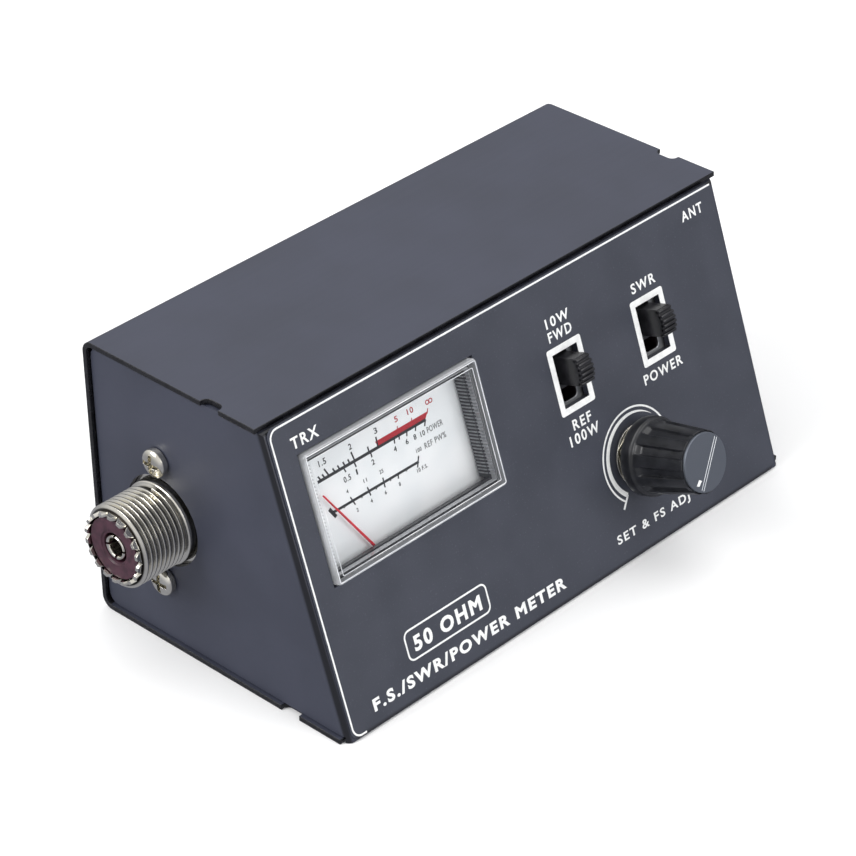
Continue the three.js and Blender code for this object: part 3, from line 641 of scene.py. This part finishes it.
FINISH = {
    # enamel() paints shade over the bends of the cover and chassis
    "coat": enamel("coat", srgb(50, 53, 66), srgb(55, 58, 72), 0.4),
    # painted shade: a near-black glossy paint for the cover's cut edges
    "coat_edge": cloudy("coat_edge", srgb(10, 10, 13), srgb(22, 22, 26), 0.22, 0.1, 400),
    # printed_film() paints shade at the foot of the front
    "label": printed_film("label", srgb(57, 60, 70), srgb(62, 65, 76), 0.42),
    "ink_white": cloudy("ink_white", srgb(232, 233, 232), srgb(246, 247, 246), 0.45, 0.1, 900),
    "ink_black": cloudy("ink_black", srgb(18, 19, 22), srgb(30, 31, 34), 0.45, 0.1, 900),
    "ink_red": cloudy("ink_red", srgb(164, 0, 22), srgb(180, 2, 30), 0.4, 0.1, 900),
    "nickel": cloudy("nickel", srgb(222, 218, 206), srgb(242, 239, 230), 0.1, 0.12, 350, relief=0.008,
                     Metallic=1.0),
    # threaded_nickel() paints shade at the thread's root and in the bore
    "nickel_thread": threaded_nickel(socket_place("trx")),  # both sockets lie on one axis
    "steel": cloudy("steel", srgb(140, 142, 144), srgb(186, 188, 190), 0.28, 0.2, 300, (0.1, 1, 1),
                    Metallic=1.0),
    "phenolic": cloudy("phenolic", srgb(50, 25, 36), srgb(70, 38, 51), 0.3, 0.15, 900, relief=0.02),
    "clear": acrylic("clear", srgb(244, 246, 248), 0.025, 0.5, 1.0),
    "clear_edge": acrylic("clear_edge", srgb(246, 248, 251), 0.4, 0.85, 0.25),
    # painted reflection: light grey for the fine ribs in the window's walls and the well
    "rib_grey": cloudy("rib_grey", srgb(112, 114, 118), srgb(150, 152, 156), 0.35, 0.1, 900),
    "black_plastic": cloudy("black_plastic", srgb(20, 20, 23), srgb(34, 34, 38), 0.26, 0.12, 500,
                            relief=0.02),
    "dial": cloudy("dial", srgb(232, 236, 238), srgb(243, 245, 246), 0.5, 0.1, 120, relief=0.004),
    "magnet": cloudy("magnet", srgb(58, 60, 64), srgb(96, 98, 102), 0.45, 0.2, 1400, relief=0.03,
                     Metallic=0.8),
    "brass": cloudy("brass", srgb(164, 124, 58), srgb(206, 168, 92), 0.25, 0.2, 500, Metallic=1.0),
    "copper": wound_copper(),
    "needle": cloudy("needle", srgb(192, 8, 34), srgb(212, 22, 46), 0.3, 0.1, 500),
    # painted highlights: near-white for thin lines along the window's edges and the knob cap's groove
    "glint": cloudy("glint", srgb(206, 210, 216), srgb(250, 251, 252), 0.2, 0.1, 250),
    "knob": cloudy("knob", srgb(24, 25, 28), srgb(38, 39, 43), 0.24, 0.12, 420, relief=0.008),
    "cap": turned_metal("cap", KNOB, srgb(92, 97, 106), srgb(118, 123, 132), 0.32),
    "board": cloudy("board", srgb(96, 100, 44), srgb(128, 124, 62), 0.4, 0.15, 1200, (1, 0.1, 1)),
    "component": banded_resistor(),
    "glass_body": cloudy("glass_body", srgb(150, 60, 26), srgb(214, 122, 62), 0.08, 0.1, 900),
    "wire_red": cloudy("wire_red", srgb(160, 20, 20), srgb(190, 36, 34), 0.4, 0.1, 800),
    "wire_black": cloudy("wire_black", srgb(18, 18, 20), srgb(34, 34, 36), 0.4, 0.1, 800),
}

# ------------------------------------------------------------------ pieces
SMOOTH = math.radians(38)  # edges that turn more than this stay sharp


def piece(name, mesh, place, finish, body="root", replaces=()):
    """Puts a mesh in place as a piece of the object, in one finish, riding on a body."""
    mesh.transform(place)
    if not mesh.materials:
        mesh.materials.append(FINISH[finish])
    mesh.shade_smooth()
    mesh.set_sharp_from_angle(angle=SMOOTH)
    even = settled(mesh, ("WEIGHTED_NORMAL", {"keep_sharp": True, "weight": 100}))
    made = added(name, even)
    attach(made, body)
    if replaces:
        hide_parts(*replaces)
    return made


HERE = Matrix.Identity(4)  # for meshes that are already in place, in metres

# ------------------------------------------------------------------ case
def build_case():
    """The cover and the chassis; the cover's cut edges and rims get a near-black finish, painted shade.
    """
    cover = welded("case_cover", 0.16)
    cover.materials.append(FINISH["coat"])
    cover.materials.append(FINISH["coat_edge"])
    # painted shade: faces turned sideways or forward, the cover's cut edges and rims, take the
    # near-black finish
    for face in cover.polygons:
        if abs(face.normal.x) > 0.3 or face.normal.y < -0.3:
            face.material_index = 1
    piece("cover_sheet", cover, HERE, "coat", replaces=["case_cover"])
    piece("chassis_sheet", welded("case_chassis"), HERE, "coat", replaces=["case_chassis"])
    piece("label_plate", welded("front_label", 0.05), HERE, "label", replaces=["front_label"])


RECESS_WIDE = 0.3  # an arm of a screw's cross recess, as a share of the head's radius
RECESS_LONG = 0.7  # and how far it reaches from the middle


def pan_screw(head, tall, shank, long):
    """A pan-head screw along -Z with a cross recess, its head standing on z = 0."""
    crown = [(head * math.cos(a) ** 0.7, tall * (0.5 + 0.5 * math.sin(a))) for a in
             (math.pi / 2 * k / 8 for k in range(8))]
    body = turned([(0, -long), (shank, -long), (shank, 0), (head * 0.97, 0), *crown, (0, tall)], 40)
    arm = head * RECESS_LONG
    half = head * RECESS_WIDE / 2
    for x, y in ((arm, half), (half, arm)):
        body = cut(body, prism(soft_rect(-x, x, -y, y, half * 0.6, 3), tall * 0.05, tall + 1))
    return eased(body, 0.05, 1)


def build_case_screws():
    """Four screws through the back, into the chassis."""
    shank, long = 1.3, 6
    names = [f"case_screw_{k}" for k in range(1, 5)]
    boxes = [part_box(name) for name in names]
    middles = [(low + high) / 2 for low, high in boxes]
    heart = sum(middles, Vector()) / len(middles)
    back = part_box("case_cover")[1].y + 0.2 * MM
    place = place_of(Vector((heart.x, back, heart.z)), -RIGHT, Vector((0, 0, 1)), Vector((0, 1, 0)))
    across = (middles[-1].x - middles[0].x) / MM
    rise = (middles[1].z - middles[0].z) / MM
    head = (boxes[0][1].x - boxes[0][0].x) / MM / 2
    tall = (boxes[0][1].y - back) / MM
    screws = grown(LATTICE, pan_screw(head, tall, shank, long), FINISH["steel"], Count=2, Rows=2,
                   StepX=across, StepY=rise, Sag=0.0)
    piece("back_screws", screws, place, "steel", replaces=names)


# ------------------------------------------------------------------ coaxial sockets
def socket_barrel():
    """The shell: bore, rear collar and the plain root under the thread."""
    body = turned([
        (WALL, LONG - 0.95), (WALL, 0.8), (4.7, 0.8), (4.7, -4.7), (5.8, -4.7), (5.8, -2.4),
        (8.2, -2.4), (8.2, 1.0), (8.05, 1.2), (ROOT + 0.2, 1.35), (ROOT, 1.55),
        (ROOT, LONG - 1.35), (ROOT - 0.3, LONG - 0.95),
    ], 96)
    return eased(body, 0.1)


def socket_thread():
    """The helical ridge; its section runs outward along -X and back along Y."""
    section = bpy.data.meshes.new("section")
    half = PITCH / 2
    rise = [(0.06, half * 0.98, 0), (-0.62, half * 0.3, 0), (-CREST, half * 0.18, 0)]
    corners = rise + [(x, -y, z) for x, y, z in reversed(rise)]
    section.from_pydata(corners, [(k, (k + 1) % 6) for k in range(6)], [])
    ridge = grown(THREAD, section, FINISH["nickel_thread"], Radius=ROOT, Pitch=PITCH, Turns=TURNS,
                  Steps=56)
    return moved(ridge, z=THREAD_FOOT)


def socket_teeth():
    """The toothed rim that keeps a plug's shell from turning."""
    step = math.pi * WALL / TEETH
    outline = [(step * 1.02, 0), (step * 0.96, 0.3), (step * 0.42, 1.15), (-step * 0.42, 1.15),
               (-step * 0.96, 0.3), (-step * 1.02, 0)]
    tooth = prism(outline, 0.02, 0.72)
    tooth.transform(Matrix(((0, 0, 1, WALL), (1, 0, 0, 0), (0, 1, 0, LONG - 1.2), (0, 0, 0, 1))))
    return grown(RING, eased(tooth, 0.04), FINISH["nickel"], Count=TEETH)


def socket_flange(pitch):
    """The two-hole flange behind the side panel."""
    bm = bmesh.new()
    for middle, radius in ((0, 9.6), (pitch / 2, 3.6), (-pitch / 2, 3.6)):
        for k in range(48):
            angle = 2 * math.pi * k / 48
            for z in (-2.7, -1.2):
                bm.verts.new((middle + radius * math.cos(angle), radius * math.sin(angle), z))
    bmesh.ops.convex_hull(bm, input=bm.verts)
    plate = mesh_of(bm)
    for middle, radius in ((0, 8.3), (pitch / 2, 1.8), (-pitch / 2, 1.8)):
        plate = cut(plate, moved(turned([(0, -4), (radius, -4), (radius, 0), (0, 0)], 48), x=middle))
    return plate


def build_socket(prefix):
    """One coaxial socket with its insulator, centre contact and two screws."""
    place = socket_place(prefix)
    pitch = (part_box(prefix + "_screw_upper")[0].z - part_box(prefix + "_screw_lower")[0].z) / MM

    def put(name, mesh, finish, slot, *nodes):
        piece(f"{prefix}_{name}", mesh, place, finish, replaces=nodes)

    put("barrel", socket_barrel(), "nickel_thread", "nickel", prefix + "_socket_shell")
    put("thread", socket_thread(), "nickel_thread", "nickel")
    put("rim_teeth", socket_teeth(), "nickel", "nickel")
    put("flange", socket_flange(pitch), "nickel", "nickel")
    insulator = turned([(2.85, 11.2), (2.85, -5.7), (4.5, -5.7), (4.5, 1), (6.0, 1), (6.0, 11.5),
                        (3.4, 11.5), (3.3, 11.2)], 72)
    put("insulator", eased(insulator, 0.12), "phenolic", "phenolic", prefix + "_socket_insulator")
    contact = turned([
        (0, 3.2), (1.7, 3.2), (1.7, 10.9), (1.9, 11.2), (2.25, 11.3), (2.4, 11.1), (2.4, 2), (2.7, 1.6),
        (2.7, -6.7), (1.6, -7.1), (1.6, -12.7), (0, -12.7),
    ], 56)
    for wide, deep in ((3, 0.24), (0.24, 3)):
        contact = cut(contact, prism(soft_rect(-wide, wide, -deep, deep, 0.1, 1), 6, 12))
    put("contact", eased(contact, 0.08), "nickel", "nickel", prefix + "_socket_contact")
    screws = grown(LATTICE, pan_screw(2.75, 1.9, 1.45, 7.6), FINISH["nickel"], Count=2, Rows=1,
                   StepX=pitch, StepY=0.0, Sag=0.0)
    put("screws", moved(screws, z=0.2), "nickel", "nickel", prefix + "_screw_upper",
        prefix + "_screw_lower")


# ------------------------------------------------------------------ print on the front
LABEL_FACE = extent("front_label")[1].z
KNOB_X, KNOB_Y = (PANEL.inverted() @ KNOB_FOOT).xy
SWITCH_PLACES = [((low + high) / 2).xy for low, high in
                 (extent("range_switch_frame"), extent("mode_switch_frame"))]
SWITCH_PRINT = {"wide": 9.04, "tall": 13.0, "line": 1.25}
THIN = 0.34  # the width of the border's line


def arc_print(middle, radius, start, end, thick, height, taper=0.0, steps=64):
    """A printed arc between two angles in degrees, thinning by the taper towards its end."""
    outer, inner = [], []
    for k in range(steps + 1):
        share = k / steps
        angle = math.radians(start + (end - start) * share)
        across = thick * (1 - taper * share ** 3)
        for line, reach in ((outer, radius), (inner, radius - across)):
            line.append((middle[0] + reach * math.cos(angle), middle[1] + reach * math.sin(angle)))
    return band(outer, inner, height, height + INK, closed=False)


def line_print(start, end, thick, height):
    """A straight printed line."""
    along = (Vector(end) - Vector(start)).normalized()
    aside = Vector((-along.y, along.x)) * thick / 2
    first = [tuple(Vector(p) + aside) for p in (start, end)]
    second = [tuple(Vector(p) - aside) for p in (start, end)]
    return band(first, second, height, height + INK, closed=False)


def quarter(steps):
    """The angles of a quarter turn."""
    return [math.pi / 2 * k / steps for k in range(steps + 1)]


def path_print(path, thick, height):
    """A printed line of even width along a path of points."""
    points = [Vector(point) for point in path]
    first, second = [], []
    for k, point in enumerate(points):
        along = (points[min(k + 1, len(points) - 1)] - points[max(k - 1, 0)]).normalized()
        aside = Vector((-along.y, along.x)) * thick / 2
        first.append(tuple(point + aside))
        second.append(tuple(point - aside))
    return band(first, second, height, height + INK, closed=False)


def build_print():
    """White print: border, words, switch frames, the knob's arcs, title and a plain boxed note."""
    face = LABEL_FACE
    low, high = extent("front_label")
    left, top, foot = low.x + 0.45, high.y - 0.45, low.y + 0.35
    corner = 1.8
    path = [(left + corner * 1.6, foot)]
    turn = [(corner * (1 - math.sin(a)), corner * (1 - math.cos(a))) for a in quarter(8)]
    path += [(left + x, foot + y) for x, y in turn]
    path += [(left + y, top - x) for x, y in turn]
    path.append((high.x - 0.3, top))
    piece("print_border", path_print(path, THIN, face), PANEL, "ink_white")
    frames = []
    for x, y in SWITCH_PLACES:
        wide, tall = SWITCH_PRINT["wide"] / 2, SWITCH_PRINT["tall"] / 2
        frames.append(frame_print(x - wide, x + wide, y - tall, y + tall, 0.5, SWITCH_PRINT["line"],
                                  face))
    piece("print_switch_frames", joined(*frames), PANEL, "ink_white")
    notes = [  # text, left, right, depth of its foot below the panel's top edge, height
        ("TRX", -53.8, -47.5, 6.45, 2.1), ("ANT", 48.2, 54.1, 5.6, 2.0),
        ("10W", 8.55, 14.7, 10.68, 1.95), ("FWD", 8.45, 14.6, 13.35, 2.0),
        ("REF", 9.1, 14.05, 30.75, 2.0), ("100W", 7.5, 15.3, 33.45, 2.1),
        ("SWR", 31.25, 37.9, 13.2, 2.0), ("POWER", 29.1, 39.95, 30.5, 2.0),
        ("SET & FS ADJ", 12.9, 33.5, 56.2, 2.3), ("F.S./SWR/POWER METER", -52.0, -2.0, 57.1, 2.4),
        ("50 OHM", -39.8, -22.6, 51.5, 3.0),
    ]
    marks = [words(text, left, right, -foot, tall, face, 0.022 if tall < 2.35 else 0.04, 1.25)
             for text, left, right, foot, tall in notes]
    piece("print_words", joined(*marks), PANEL, "ink_white")
    box = frame_print(-41.7, -20.6, -52.8, -46.9, 1.4, THIN, face)
    piece("print_note_box", box, PANEL, "ink_white")
    middle = (KNOB_X, KNOB_Y)
    foot = math.degrees(math.atan2(-(49.0 + KNOB_Y), 17.2 - KNOB_X))
    arcs = [
        arc_print(middle, 9.26, foot, foot - 250, 0.36, face),
        arc_print(middle, 8.26, foot, foot - 188, 0.9, face, 0.95),
    ]
    heading = Vector((math.cos(math.radians(foot)), math.sin(math.radians(foot))))
    near, far = Vector(middle) + heading * 7.7, Vector(middle) + heading * 10.6
    arcs.append(line_print(near, far, 0.45, face))
    piece("print_knob_scale", joined(*arcs), PANEL, "ink_white")


# ------------------------------------------------------------------ meter
SCALE_PIVOT = (PANEL.inverted() @ PIVOT_FOOT).xy
DIAL_FACE = extent("meter_dial")[1].z
SCALE_LINE = -15.85  # heights on the panel of the two scales and the red zone
LOWER_LINE = -22.2
RED_FOOT, RED_TOP = -15.62, -14.65


def tick_marks(marks, finish):
    """Bars that lean towards the pivot: each is x, foot, length and width."""
    start = bpy.data.meshes.new("ticks")
    start.from_pydata([(x, y, DIAL_FACE) for x, y, reach, wide in marks], [], [])
    for name, k in (("reach", 2), ("wide", 3)):
        layer = start.attributes.new(name, "FLOAT", "POINT")
        layer.data.foreach_set("value", [mark[k] for mark in marks])
    return grown(TICKS, start, FINISH[finish], PivotX=SCALE_PIVOT[0], PivotY=SCALE_PIVOT[1],
                 Thick=INK * 1.3)


def build_scale():
    """The scale plate's print: two straight scales, a red zone, numbers and words."""
    face = DIAL_FACE
    lines = [
        line_print((-47.2, SCALE_LINE), (-20.4, SCALE_LINE), 0.56, face),
        line_print((-46.1, LOWER_LINE), (-24.4, LOWER_LINE), 0.48, face),
        line_print((-46.35, -21.3), (-45.3, -23.2), 0.7, face),
    ]
    above = [(-46.35, 1.05), (-45.4, 1.0), (-44.4, 1.75), (-42.95, 0.95), (-41.8, 0.95), (-40.5, 1.0),
             (-39.35, 0.95), (-38.15, 1.85), (-34.6, 1.1), (-32.4, 1.95)]
    below = [(-40.95, 1.0), (-38.4, 1.15), (-34.3, 1.05), (-28.4, 1.0), (-27.15, 0.8), (-25.2, 1.0),
             (-22.95, 1.0), (-20.5, 1.15)]
    crossing = [(-40.9, 0.9, 0.95), (-36.9, 0.85, 0.9), (-33.2, 0.9, 0.95), (-29.65, 0.0, 0.85),
                (-24.6, 1.1, 0.95)]
    halves = [-43.2, -38.85, -35.2, -31.6, -27.5]
    marks = [(x, SCALE_LINE, reach, 0.32) for x, reach in above]
    marks += [(x, SCALE_LINE, -reach, 0.28) for x, reach in below]
    marks += [(x, LOWER_LINE, up, 0.28) for x, up, down in crossing if up]
    marks += [(x, LOWER_LINE, -down, 0.28) for x, up, down in crossing]
    marks += [(x, LOWER_LINE, -0.45, 0.24) for x in halves]
    piece("scale_lines", joined(*lines), PANEL, "ink_black")
    piece("scale_ticks", tick_marks(marks, "ink_black"), PANEL, "ink_black")
    zone = [(-32.35, RED_FOOT), (-20.35, RED_FOOT), (-19.5, RED_TOP), (-32.75, RED_TOP)]
    piece("scale_red_zone", prism(zone, face, face + INK), PANEL, "ink_red")
    red = [(-27.15, -14.66, 0.5, 0.16), (-23.6, -14.66, 0.5, 0.16), (-19.75, -15.0, 0.95, 0.2)]
    piece("scale_red_ticks", tick_marks(red, "ink_red"), PANEL, "ink_red")

    def note(text, middle, foot, wide, tall, bold=0.015):
        return words(text, middle - wide / 2, middle + wide / 2, -foot, tall, face, bold, 1.15)

    black = [
        note("1.5", -45.1, 13.55, 1.75, 1.15), note("2", -38.35, 13.6, 0.7, 1.1),
        note("3", -32.0, 13.4, 0.75, 1.1), note("0.5", -40.75, 18.55, 1.7, 1.1),
        note("1", -38.35, 18.35, 0.35, 1.0), note("2", -34.3, 18.3, 0.65, 1.0),
        note("4", -28.8, 18.3, 0.7, 1.0), note("6", -25.8, 18.2, 0.65, 1.0),
        note("8", -23.8, 18.2, 0.65, 1.0), note("10", -21.9, 18.35, 1.1, 1.0),
        note("POWER", -18.8, 18.35, 3.9, 1.1, 0), note("REF PW%", -19.5, 20.75, 5.4, 1.1, 0),
        note("100", -23.7, 20.6, 1.3, 0.75), note("4", -41.5, 20.5, 0.45, 0.7),
        note("11", -37.1, 20.4, 0.8, 0.7), note("25", -33.1, 20.5, 0.9, 0.7),
        note("2", -40.4, 24.5, 0.45, 0.7), note("4", -36.9, 24.4, 0.5, 0.7),
        note("6", -33.4, 24.4, 0.45, 0.7), note("8", -29.85, 24.4, 0.45, 0.7),
        note("10 F.S.", -24.0, 24.0, 2.6, 0.75),
    ]
    piece("scale_numbers", joined(*black), PANEL, "ink_black")
    warm = [note("5", -26.9, 13.45, 0.75, 1.1), note("10", -23.35, 13.4, 1.5, 1.1)]
    for left in (-19.55, -18.75):  # two rings make the sign for infinity
        warm.append(frame_print(left, left + 0.96, -13.55, -12.65, 0.42, 0.19, face))
    piece("scale_red_numbers", joined(*warm), PANEL, "ink_red")


def build_window():
    """The clear window: its bevelled rim is brighter than its face, and two thin near-white frames
    along its edges are painted highlights.
    """
    window = welded("meter_window", 0.1)
    window.materials.append(FINISH["clear"])
    window.materials.append(FINISH["clear_edge"])
    for polygon in window.polygons:
        if abs(polygon.normal.dot(OUT)) < 0.97:
            polygon.material_index = 1
    piece("window_pane", window, HERE, "clear", replaces=["meter_window"])
    low, high = extent("meter_window")
    lines = []
    # painted highlights: thin near-white frames on the window's face, along its outer and inner edges
    for inset, line in ((0.42, 0.16), (1.4, 0.12)):
        lines.append(frame_print(low.x + inset, high.x - inset, low.y + inset, high.y - inset,
                                 0.3, line, high.z - INK / 2))
    piece("window_edge_glints", joined(*lines), PANEL, "glint")


WELL = (-3.8, -1.3)  # from just above the scale plate to just under the panel


def build_well():
    """Fine ribs on the side walls of the window and of the well behind it, in light grey: a painted
    reflection of the light the ribs catch.
    """
    low, high = extent("meter_window")
    middle = (low + high) / 2
    pitch = 0.67
    count = int((high.y - low.y - 4) / pitch)
    for name, inset, floor, roof in (("pane_ribs", 1.62, -1.0, 0.3), ("well_ribs", 1.72, *WELL)):
        rib = prism(soft_rect(-0.11, 0.11, -0.11, 0.11, 0.03, 2), floor, roof)
        ribs = grown(LATTICE, rib, FINISH["rib_grey"], Count=2, Rows=count,
                     StepX=high.x - low.x - 2 * inset, StepY=pitch, Sag=0.0)
        piece(name, moved(ribs, middle.x, middle.y), PANEL, "rib_grey")


def build_shade_fin():
    """A thin black fin across the well, above the scale's numbers: painted shade, a dark sheet standing
    for the line of shade under the well's top edge.
    """
    low, high = extent("meter_window")
    left, right, foot, top = low.x + 1.7, high.x - 1.7, -10.3, -10.08
    fin = prism([(left, foot), (right, foot), (right, top), (left, top)], *WELL)
    piece("well_shade_fin", fin, PANEL, "black_plastic")


def build_pointer():
    """The red pointer with its hub and tail."""
    blade = welded("meter_pointer", 0.05)
    piece("pointer_blade", blade, HERE, "needle", "pointer", ["meter_pointer"])


# ------------------------------------------------------------------ slide switches
CAP_WIDE, CAP_TALL, CAP_TOP, CROWN, RIBS = 3.4, 5.4, 4.3, 0.9, 6
RIB_HIGH = 0.42


def sideways(mesh, z=0):
    """Lays a shape drawn in X and Y across the panel, so that X runs along Y and Y along Z."""
    mesh.transform(Matrix(((0, 0, 1, 0), (1, 0, 0, 0), (0, 1, 0, z), (0, 0, 0, 1))))
    return mesh


def switch_cap():
    """The slider's cap: smooth sides and ribs across a crowned top."""
    half = CAP_TALL / 2
    steps = 14
    crown = [(half * (1 - 2 * k / steps), CAP_TOP - 0.4 + CROWN * (1 - (1 - 2 * k / steps) ** 2))
             for k in range(steps + 1)]
    side = sideways(prism([(half, -2), *crown, (-half, -2)], -CAP_WIDE / 2, CAP_WIDE / 2))
    pitch = CAP_TALL / RIBS
    half_rib = pitch * 0.36
    outline = soft_rect(-half_rib, half_rib, -0.6, RIB_HIGH, half_rib * 0.8, 4)
    rib = sideways(prism(outline, -CAP_WIDE / 2, CAP_WIDE / 2), CAP_TOP + CROWN - RIB_HIGH)
    ribs = grown(LATTICE, eased(rib, 0.08), FINISH["black_plastic"], Count=1, Rows=RIBS, StepX=0.0,
                 StepY=pitch, Sag=CROWN / half ** 2)
    shuttle = prism(soft_rect(-3.6, 3.6, -4, 4, 0.3, 2), -6.9, -2.0)
    return joined(eased(side, 0.14, 3), ribs, eased(shuttle, 0.1))


def build_switches():
    """The two sliders' caps and the frames behind them."""
    for name, (x, y) in zip(("range", "mode"), SWITCH_PLACES):
        cap = moved(switch_cap(), x, y + TRAVEL / 2)
        piece(f"{name}_cap", cap, PANEL, "black_plastic", f"{name}_slider",
              [f"{name}_switch_slider"])
        yoke = welded(f"{name}_switch_frame", 0.12)
        piece(f"{name}_yoke", yoke, HERE, "steel", replaces=[f"{name}_switch_frame"])


# ------------------------------------------------------------------ set control
def build_knob():
    """The fluted knob, its spun cap and the hardware under it."""
    climb = [(6.9 - 0.9 * k / 26, 5.8 + 10.6 * k / 26) for k in range(27)]
    body = turned([
        (3.2, 6), (5.4, 6), (5.4, 3), (7.2, 3), (7.42, 3.1), (7.5, 3.35), (7.5, 4.95), (7.42, 5.2),
        (7.15, 5.32), (6.98, 5.5), *climb, (5.98, 16.75), (5.8, 16.9), (5.8, 16.05), (3.2, 16.05),
    ], 600)
    fluted = grown(FLUTES, body, FINISH["knob"], Count=10, Depth=0.6, Narrow=0.5, Low=6.0, Fade=1.0,
                   High=16.8, Radius=5.9)
    piece("knob_grip", fluted, KNOB, "knob", "knob", ["set_knob"])
    cap = eased(turned([(0, 16.2), (5.6, 16.2), (5.6, 17.38), (0, 17.38)], 96), 0.14, 3)
    piece("knob_cap", cap, KNOB, "cap", "knob", ["set_knob_cap"])
    mark = prism([(-2.7, -2.3), (-2.05, -2.75), (-3.0, -3.5), (-3.6, -3.15)], 17.3, 17.4)
    piece("knob_mark", mark, KNOB, "ink_white", "knob")
    # painted highlights: two thin near-white strips along the groove across the cap
    first, last = Vector((3.95, 3.43)), Vector((-2.4, -4.63))
    aside = Vector((last - first).yx).normalized() * 0.28
    aside.x = -aside.x
    strips = [line_print(first + shift, last + shift, 0.14, 17.375) for shift in (aside, -aside)]
    piece("knob_groove_glints", joined(*strips), KNOB, "glint", "knob")
    for part, ease in (("washer", 0.06), ("nut", 0.15), ("bushing", 0.08)):
        node = "set_pot_" + part
        piece("control_" + part, welded(node, ease), HERE, "nickel", replaces=[node])


# ------------------------------------------------------------------ nodes shown as they are
KEPT = {
    "steel": ["set_pot_body", "meter_yoke", "trx_board_bracket", "ant_board_bracket",
              *[f"{side}_nut_{end}" for side in ("trx", "ant") for end in ("upper", "lower")]],
    "black_plastic": ["meter_case", "meter_back"],
    "dial": ["meter_dial"],
    "magnet": ["meter_magnet"],
    "brass": ["meter_bridge_front", "meter_bridge_rear", "meter_hairspring", "meter_terminal_left",
              "meter_terminal_right"],
    "copper": ["meter_coil", "through_line"],
    "phenolic": ["range_switch_base", "mode_switch_base", "set_pot_terminals"],
    "nickel": ["set_pot_shaft"],
    "board": ["coupler_board"],
    "component": ["forward_resistor", "reflected_resistor", "forward_capacitor", "reflected_capacitor"],
    "glass_body": ["forward_diode", "reflected_diode"],
    "wire_red": ["meter_lead_left"],
    "wire_black": ["meter_lead_right"],
}


def finish_kept_nodes():
    """Gives each of them its finish."""
    for finish, nodes in KEPT.items():
        for node in nodes:
            materials = frame["nodes"][node].data.materials
            materials.clear()
            materials.append(FINISH[finish])


# ------------------------------------------------------------------ studio
LAMPS = [  # name, place, width in metres, power in watts; each faces the middle of the floor
    ("key", (-0.75, 0.35, 0.65), 0.55, 7.0),
    ("overhead", (0.25, 0.1, 1.1), 0.9, 3.5),
    ("front", (0.2, -0.85, 0.55), 0.6, 3.6),
]
CAMERA_LENS = 141.0
CAMERA_PLACE = (-0.37537, -0.35780, 0.36026)
CAMERA_TURN = (56.981, 0.872, -46.473)  # in degrees


def build_studio():
    """A pale floor, soft lights from behind, above and in front, and the camera."""
    bm = bmesh.new()
    bmesh.ops.create_grid(bm, x_segments=8, y_segments=8, size=3)
    floor = added("floor", mesh_of(bm))
    floor.location.z = CAD_BOX[0][2] - 0.05 * MM
    floor.data.materials.append(cloudy("floor", srgb(246, 246, 246), srgb(250, 250, 250), 0.7, 0.1, 8))
    floor.visible_glossy = False

    world = bpy.data.worlds.new("studio")
    world.use_nodes = True
    bpy.context.scene.world = world
    sky = Graph(world.node_tree)
    x, y, z = sky.split(sky.node("ShaderNodeTexCoord", output="Generated"))
    height = z - x * 0.25 + y * 0.1
    glow = sky.mix(height.ramp(-0.25, 0.6), (0.40, 0.41, 0.46, 1), (1.0, 1.0, 1.0, 1))
    seen = sky.node("ShaderNodeLightPath", output="Is Camera Ray")
    colour = sky.mix(seen, glow, (1.4, 1.4, 1.4, 1))
    light = sky.node("ShaderNodeBackground", {}, {"Color": colour, "Strength": 0.8})
    sky.feed(sky.tree.nodes.new("ShaderNodeOutputWorld").inputs["Surface"], light)

    for name, spot, size, power in LAMPS:
        lamp = bpy.data.lights.new(name, "AREA")
        lamp.size = size
        lamp.energy = power
        holder = added(name, lamp)
        holder.location = spot
        holder.rotation_euler = (-Vector(spot)).to_track_quat("-Z", "Y").to_euler()

    camera = bpy.data.cameras.new("camera")
    camera.lens = CAMERA_LENS
    camera.clip_start = 0.01
    view = added("camera", camera)
    view.location = CAMERA_PLACE
    view.rotation_euler = [math.radians(angle) for angle in CAMERA_TURN]
    bpy.context.scene.camera = view
    bpy.context.scene.view_settings.view_transform = "Standard"


build_case()
build_case_screws()
build_socket("trx")
build_socket("ant")
build_print()
build_scale()
build_window()
build_well()
build_shade_fin()
build_pointer()
build_switches()
build_knob()
finish_kept_nodes()
build_studio()
